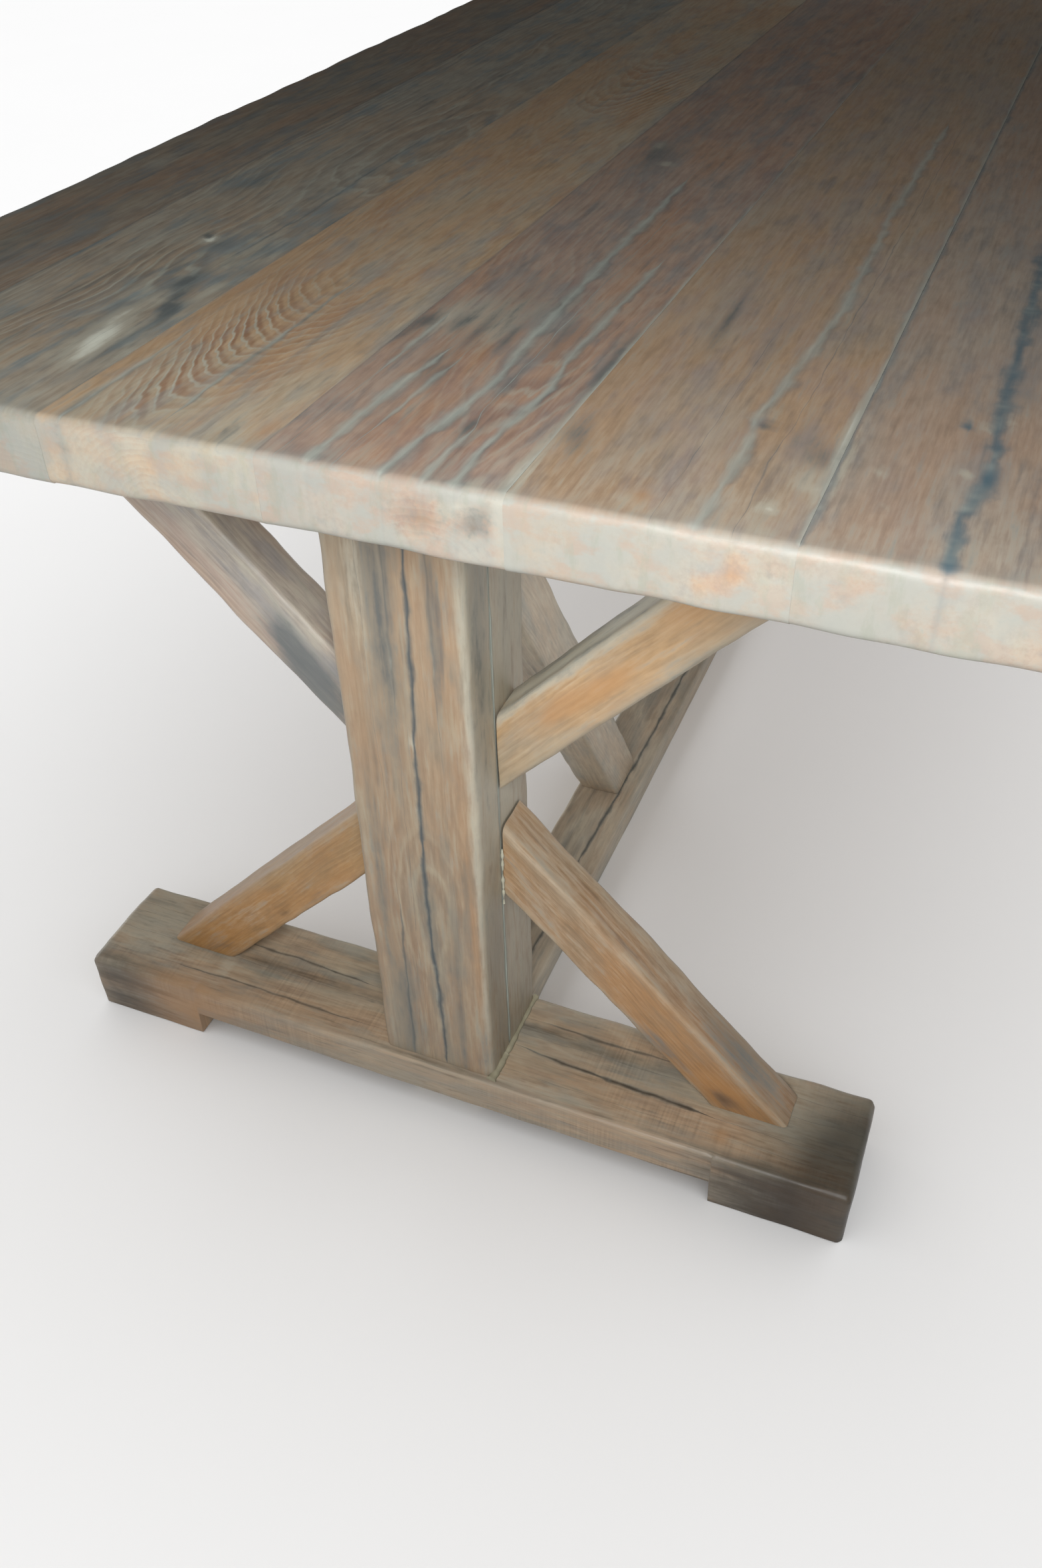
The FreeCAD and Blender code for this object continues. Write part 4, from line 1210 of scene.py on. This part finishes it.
class TABLE_OT_heads(Operator):
    """Make the two head beams"""
    bl_idname = "sawbuck.heads"
    bl_label = "Head beams"

    def execute(self, context):
        material = timber_finish("head_finish", **BRACE_LOOKS["upper_right"])
        for end in "ab":
            build_head(end, context.scene.sawbuck_trestle, material)
        return {"FINISHED"}


class TABLE_OT_posts(Operator):
    """Make the two halves of both posts"""
    bl_idname = "sawbuck.posts"
    bl_label = "Posts"

    def execute(self, context):
        material = timber_finish("post_finish", **POST_LOOK)
        for end in "ab":
            for half in ("outer", "inner"):
                build_post(end, half, context.scene.sawbuck_trestle, material)
        return {"FINISHED"}


class TABLE_OT_cross_braces(Operator):
    """Make the eight cross braces"""
    bl_idname = "sawbuck.cross_braces"
    bl_label = "Cross braces"

    def execute(self, context):
        seed = 50
        for name, look in BRACE_LOOKS.items():
            material = timber_finish("brace_%s_finish" % name, **look)
            for end in "ab":
                build_cross_brace(name, end, context.scene.sawbuck_trestle, material, seed)
                seed += 1
        return {"FINISHED"}


class TABLE_OT_rail(Operator):
    """Make the floor rail and the two long braces"""
    bl_idname = "sawbuck.rail"
    bl_label = "Floor rail and long braces"

    def execute(self, context):
        settings = context.scene.sawbuck_trestle
        build_floor_rail(settings, timber_finish("rail_finish", **RAIL_LOOK))
        material = timber_finish("long_brace_finish", **RAIL_LOOK)
        for end in "ab":
            build_long_brace(end, settings, material)
        return {"FINISHED"}


# Filler beads of end A, in millimetres: (radius, points of the path).
BASE_BEADS = ((5.0, ((997, 59, 73), (982, 60.5, 73), (962, 60.5, 73))),
              (3.0, ((962, 60.5, 73), (930, 60.5, 73), (880, 60.5, 73))))
JOINT_BEADS = ((1.2, ((948.5, 60.5, 345), (949.5, 60.5, 310), (949.5, 60.5, 278))),
               (1.1, ((949, -60.5, 480), (949, -60.5, 396))), (1.1, ((949, -60.5, 352), (949, -60.5, 272))))


def bead_paths(beads, way):
    """Mesh of the beads' paths, each point with its bead's radius; way is 1 for end A and -1 for end B."""
    mesh = bpy.data.meshes.new("beads")
    points, edges, sizes = [], [], []
    for radius, path in beads:
        edges += [(len(points) + step, len(points) + step + 1) for step in range(len(path) - 1)]
        points += [(way * x * MM, y * MM, z * MM) for x, y, z in path]
        sizes += [radius * MM] * len(path)
    mesh.from_pydata(points, edges, [])
    mesh.attributes.new("bead", "FLOAT", "POINT").data.foreach_set("value", sizes)
    return mesh


SCREWS = {
    "head_screws": {"Radius": 2.5 * MM, "Length": 78 * MM, "Pitch": 3.2 * MM, "Head Radius": 5 * MM,
                    "Neck Radius": 2.5 * MM, "Head Height": 3 * MM, "Head Sides": 20, "Has Recess": True},
    "foot_screws": {"Radius": 4 * MM, "Length": 105 * MM, "Pitch": 4 * MM, "Head Radius": 6.5 * MM,
                    "Neck Radius": 6.5 * MM, "Head Height": 5.3 * MM, "Head Sides": 6, "Has Recess": False},
}
SCREW_SPREAD = 16 * MM  # points nearer than this to a screw's first one, seen from above, belong to it


def screw_points(node):
    """Mesh of one point at the foot of each vertical screw of a CAD node."""
    places = {}
    for vertex in frame["nodes"][node].data.vertices:
        x, y, z = vertex.co
        key = next((key for key in places if math.hypot(x - key[0], y - key[1]) < SCREW_SPREAD), None)
        places.setdefault(key or (x, y), []).append((x, y, z))
    centres = []
    for group in places.values():
        low, high = np.min(group, 0), np.max(group, 0)
        centres.append((*((low + high) / 2)[:2], low[2]))
    mesh = bpy.data.meshes.new(node)
    mesh.from_pydata([[float(value) for value in centre] for centre in centres], [], [])
    return mesh


class TABLE_OT_fastenings(Operator):
    """Make the screws, and finish the tongues and dowels"""
    bl_idname = "sawbuck.fastenings"
    bl_label = "Fastenings"

    def execute(self, context):
        timber = plain_finish("hidden_timber_finish", paint(196, 160, 116), paint(160, 122, 82))
        for name, node in frame["nodes"].items():
            if "tongue" in name or "dowels" in name:
                node.data.materials.clear()
                node.data.materials.append(timber)
        steel = steel_finish("screw_finish")
        tree = screw_tree()
        for kind, values in SCREWS.items():
            for seed, end in enumerate("ab"):
                node = "%s_%s" % (kind, end)
                values = {**values, "Seed": seed, "Material": steel}
                piece = tree.grow(node, screw_points(node), values)
                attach(piece, "root")
                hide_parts(node)
        return {"FINISHED"}


class TABLE_OT_fillers(Operator):
    """Make the beads of filler at the joints of the trestles"""
    bl_idname = "sawbuck.fillers"
    bl_label = "Filler beads"

    def execute(self, context):
        base_filler = plain_finish("base_filler_finish", paint(156, 150, 127), paint(116, 112, 92))
        joint_filler = plain_finish("joint_filler_finish", paint(182, 180, 162), paint(140, 138, 122))
        tree = bead_tree()
        for name, beads, unevenness, lump, filler in (("base", BASE_BEADS, 0.55, 14 * MM, base_filler),
                                                      ("joint", JOINT_BEADS, 1.6, 10 * MM, joint_filler)):
            for seed, end in enumerate("ab"):
                values = {"Unevenness": unevenness, "Lump Size": lump, "Seed": 3.0 * seed, "Material": filler}
                paths = bead_paths(beads, 1 if end == "a" else -1)
                piece = tree.grow("%s_filler_%s" % (name, end), paths, values)
                piece.data.shade_smooth()
                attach(piece, "root")
        return {"FINISHED"}


# ---- Stage ----

FLOOR_REACH = 40.0  # half width of the floor
CAMERA_PLACE = (1.73241, 0.42070, 1.14461)
# Directions to the camera's right, its top and what it looks at.
CAMERA_RIGHT = (-0.37899, 0.92509, -0.02416)
CAMERA_UP = (-0.60250, -0.22685, 0.76520)
CAMERA_AHEAD = (-0.70239, -0.30455, -0.64334)


def soft_light(name, place, aim, width, height, power):
    data = bpy.data.lights.new(name, "AREA")
    data.shape, data.size, data.size_y, data.energy = "RECTANGLE", width, height, power
    light = bpy.data.objects.new(name, data)
    light.location = place
    light.rotation_euler = (Vector(aim) - Vector(place)).to_track_quat("-Z", "Y").to_euler()
    bpy.context.scene.collection.objects.link(light)
    return light


def make_floor(settings):
    make = Shader("floor_finish")
    grain = make.noise(make.own_place(), 3.0, 3)
    colour = settings.floor_colour
    darker = [value * 0.985 for value in colour[:3]] + [1]
    material = make.surface(make.mix(grain, tuple(colour), darker), 0.9, Specular_IOR_Level=0.1)
    mesh = bpy.data.meshes.new("floor")
    corners = [(x * FLOOR_REACH, y * FLOOR_REACH, 0) for x, y in ((-1, -1), (1, -1), (1, 1), (-1, 1))]
    mesh.from_pydata(corners, [], [(0, 1, 2, 3)])
    mesh.materials.append(material)
    floor = bpy.data.objects.new("floor", mesh)
    bpy.context.scene.collection.objects.link(floor)
    return floor


def make_sky(settings):
    """Even white light from all round; the camera sees it as bright as the backdrop."""
    world = bpy.data.worlds.new("studio")
    bpy.context.scene.world = world
    world.use_nodes = True
    make = Graph(world.node_tree)
    seen = make.node("ShaderNodeLightPath", None, "Is Camera Ray")
    strength = make.node("ShaderNodeMapRange", {
        "Value": seen, "To Min": settings.sky, "To Max": settings.backdrop})
    sockets = world.node_tree.nodes["Background"].inputs
    make.feed(sockets["Strength"], strength)
    make.feed(sockets["Color"], (1, 1, 1, 1))


def make_lights(settings, floor):
    """Soft lights, each on the floor alone or on the table alone."""
    on_floor = bpy.data.collections.new("lit_floor")
    on_floor.objects.link(floor)
    on_table = bpy.data.collections.new("lit_table")
    for piece in bpy.context.scene.objects:
        if piece.type == "MESH" and piece != floor:
            on_table.objects.link(piece)
    fill = settings.fill_power
    for name, place, aim, width, height, power, lit in (
            ("key", (1.86, 0.34, 1.27), (1.0, 0.0, 0.5), 0.5, 0.5, settings.key_power, on_table),
            ("far_end", (-1.35, 0.0, 1.5), (-1.5, 0.0, 0.78), 0.4, 0.9, settings.far_power, on_table),
            ("back_fill", (-3.0, 0.0, 0.5), (0.0, 0.0, 0.4), 2.0, 0.5, fill, on_table),
            ("left_fill", (0.0, -2.6, 0.5), (0.0, 0.0, 0.4), 2.4, 0.5, fill, on_table),
            ("right_fill", (-1.2, 2.6, 0.5), (-0.6, 0.0, 0.4), 2.0, 0.5, fill * 0.3, on_table),
            ("floor_wash", (0.0, 0.0, 12.0), (0.0, 0.0, 0.0), 60.0, 60.0, settings.floor_power, on_floor)):
        light = soft_light(name, place, aim, width, height, power)
        light.light_linking.receiver_collection = lit
        light.visible_glossy = name != "far_end"


def make_camera(settings):
    camera = bpy.data.cameras.new("camera")
    camera.sensor_width = 36.0
    camera.lens = settings.lens
    camera.clip_start, camera.clip_end = 0.02, 100.0
    eye = bpy.data.objects.new("camera", camera)
    rows = [(CAMERA_RIGHT[axis], CAMERA_UP[axis], -CAMERA_AHEAD[axis], CAMERA_PLACE[axis])
            for axis in range(3)]
    eye.matrix_world = Matrix((*rows, (0, 0, 0, 1)))
    bpy.context.scene.collection.objects.link(eye)
    bpy.context.scene.camera = eye


class TABLE_OT_stage(Operator):
    """Make the floor, the soft lights and the camera"""
    bl_idname = "sawbuck.stage"
    bl_label = "Stage"

    def execute(self, context):
        settings = context.scene.sawbuck_stage
        floor = make_floor(settings)
        make_sky(settings)
        make_lights(settings, floor)
        make_camera(settings)
        context.scene.view_settings.view_transform = "Standard"
        return {"FINISHED"}


class TABLE_PT_panel(Panel):
    """Sawbuck table"""
    bl_idname = "TABLE_PT_panel"
    bl_label = "Sawbuck Table"
    bl_space_type = "VIEW_3D"
    bl_region_type = "UI"
    bl_category = "Table"

    def draw(self, context):
        for group in (context.scene.sawbuck_top, context.scene.sawbuck_trestle, context.scene.sawbuck_stage):
            box = self.layout.box()
            for name in group.__annotations__:
                box.prop(group, name)
        for operator in OPERATORS:
            self.layout.operator(operator.bl_idname)


OPERATORS = (TABLE_OT_top, TABLE_OT_feet, TABLE_OT_heads, TABLE_OT_posts, TABLE_OT_cross_braces,
             TABLE_OT_rail, TABLE_OT_fastenings, TABLE_OT_fillers, TABLE_OT_stage)
SETTINGS = {"sawbuck_top": TopSettings, "sawbuck_trestle": TrestleSettings, "sawbuck_stage": StageSettings}


def register():
    for group in (*SETTINGS.values(), *OPERATORS, TABLE_PT_panel):
        bpy.utils.register_class(group)
    for name, group in SETTINGS.items():
        setattr(bpy.types.Scene, name, PointerProperty(type=group))


def unregister():
    for name in SETTINGS:
        delattr(bpy.types.Scene, name)
    for group in (TABLE_PT_panel, *OPERATORS, *SETTINGS.values()):
        bpy.utils.unregister_class(group)


def main():
    register()
    for operator in OPERATORS:
        call = bpy.ops
        for part in operator.bl_idname.split("."):
            call = getattr(call, part)
        call()


if __name__ == "__main__":
    main()
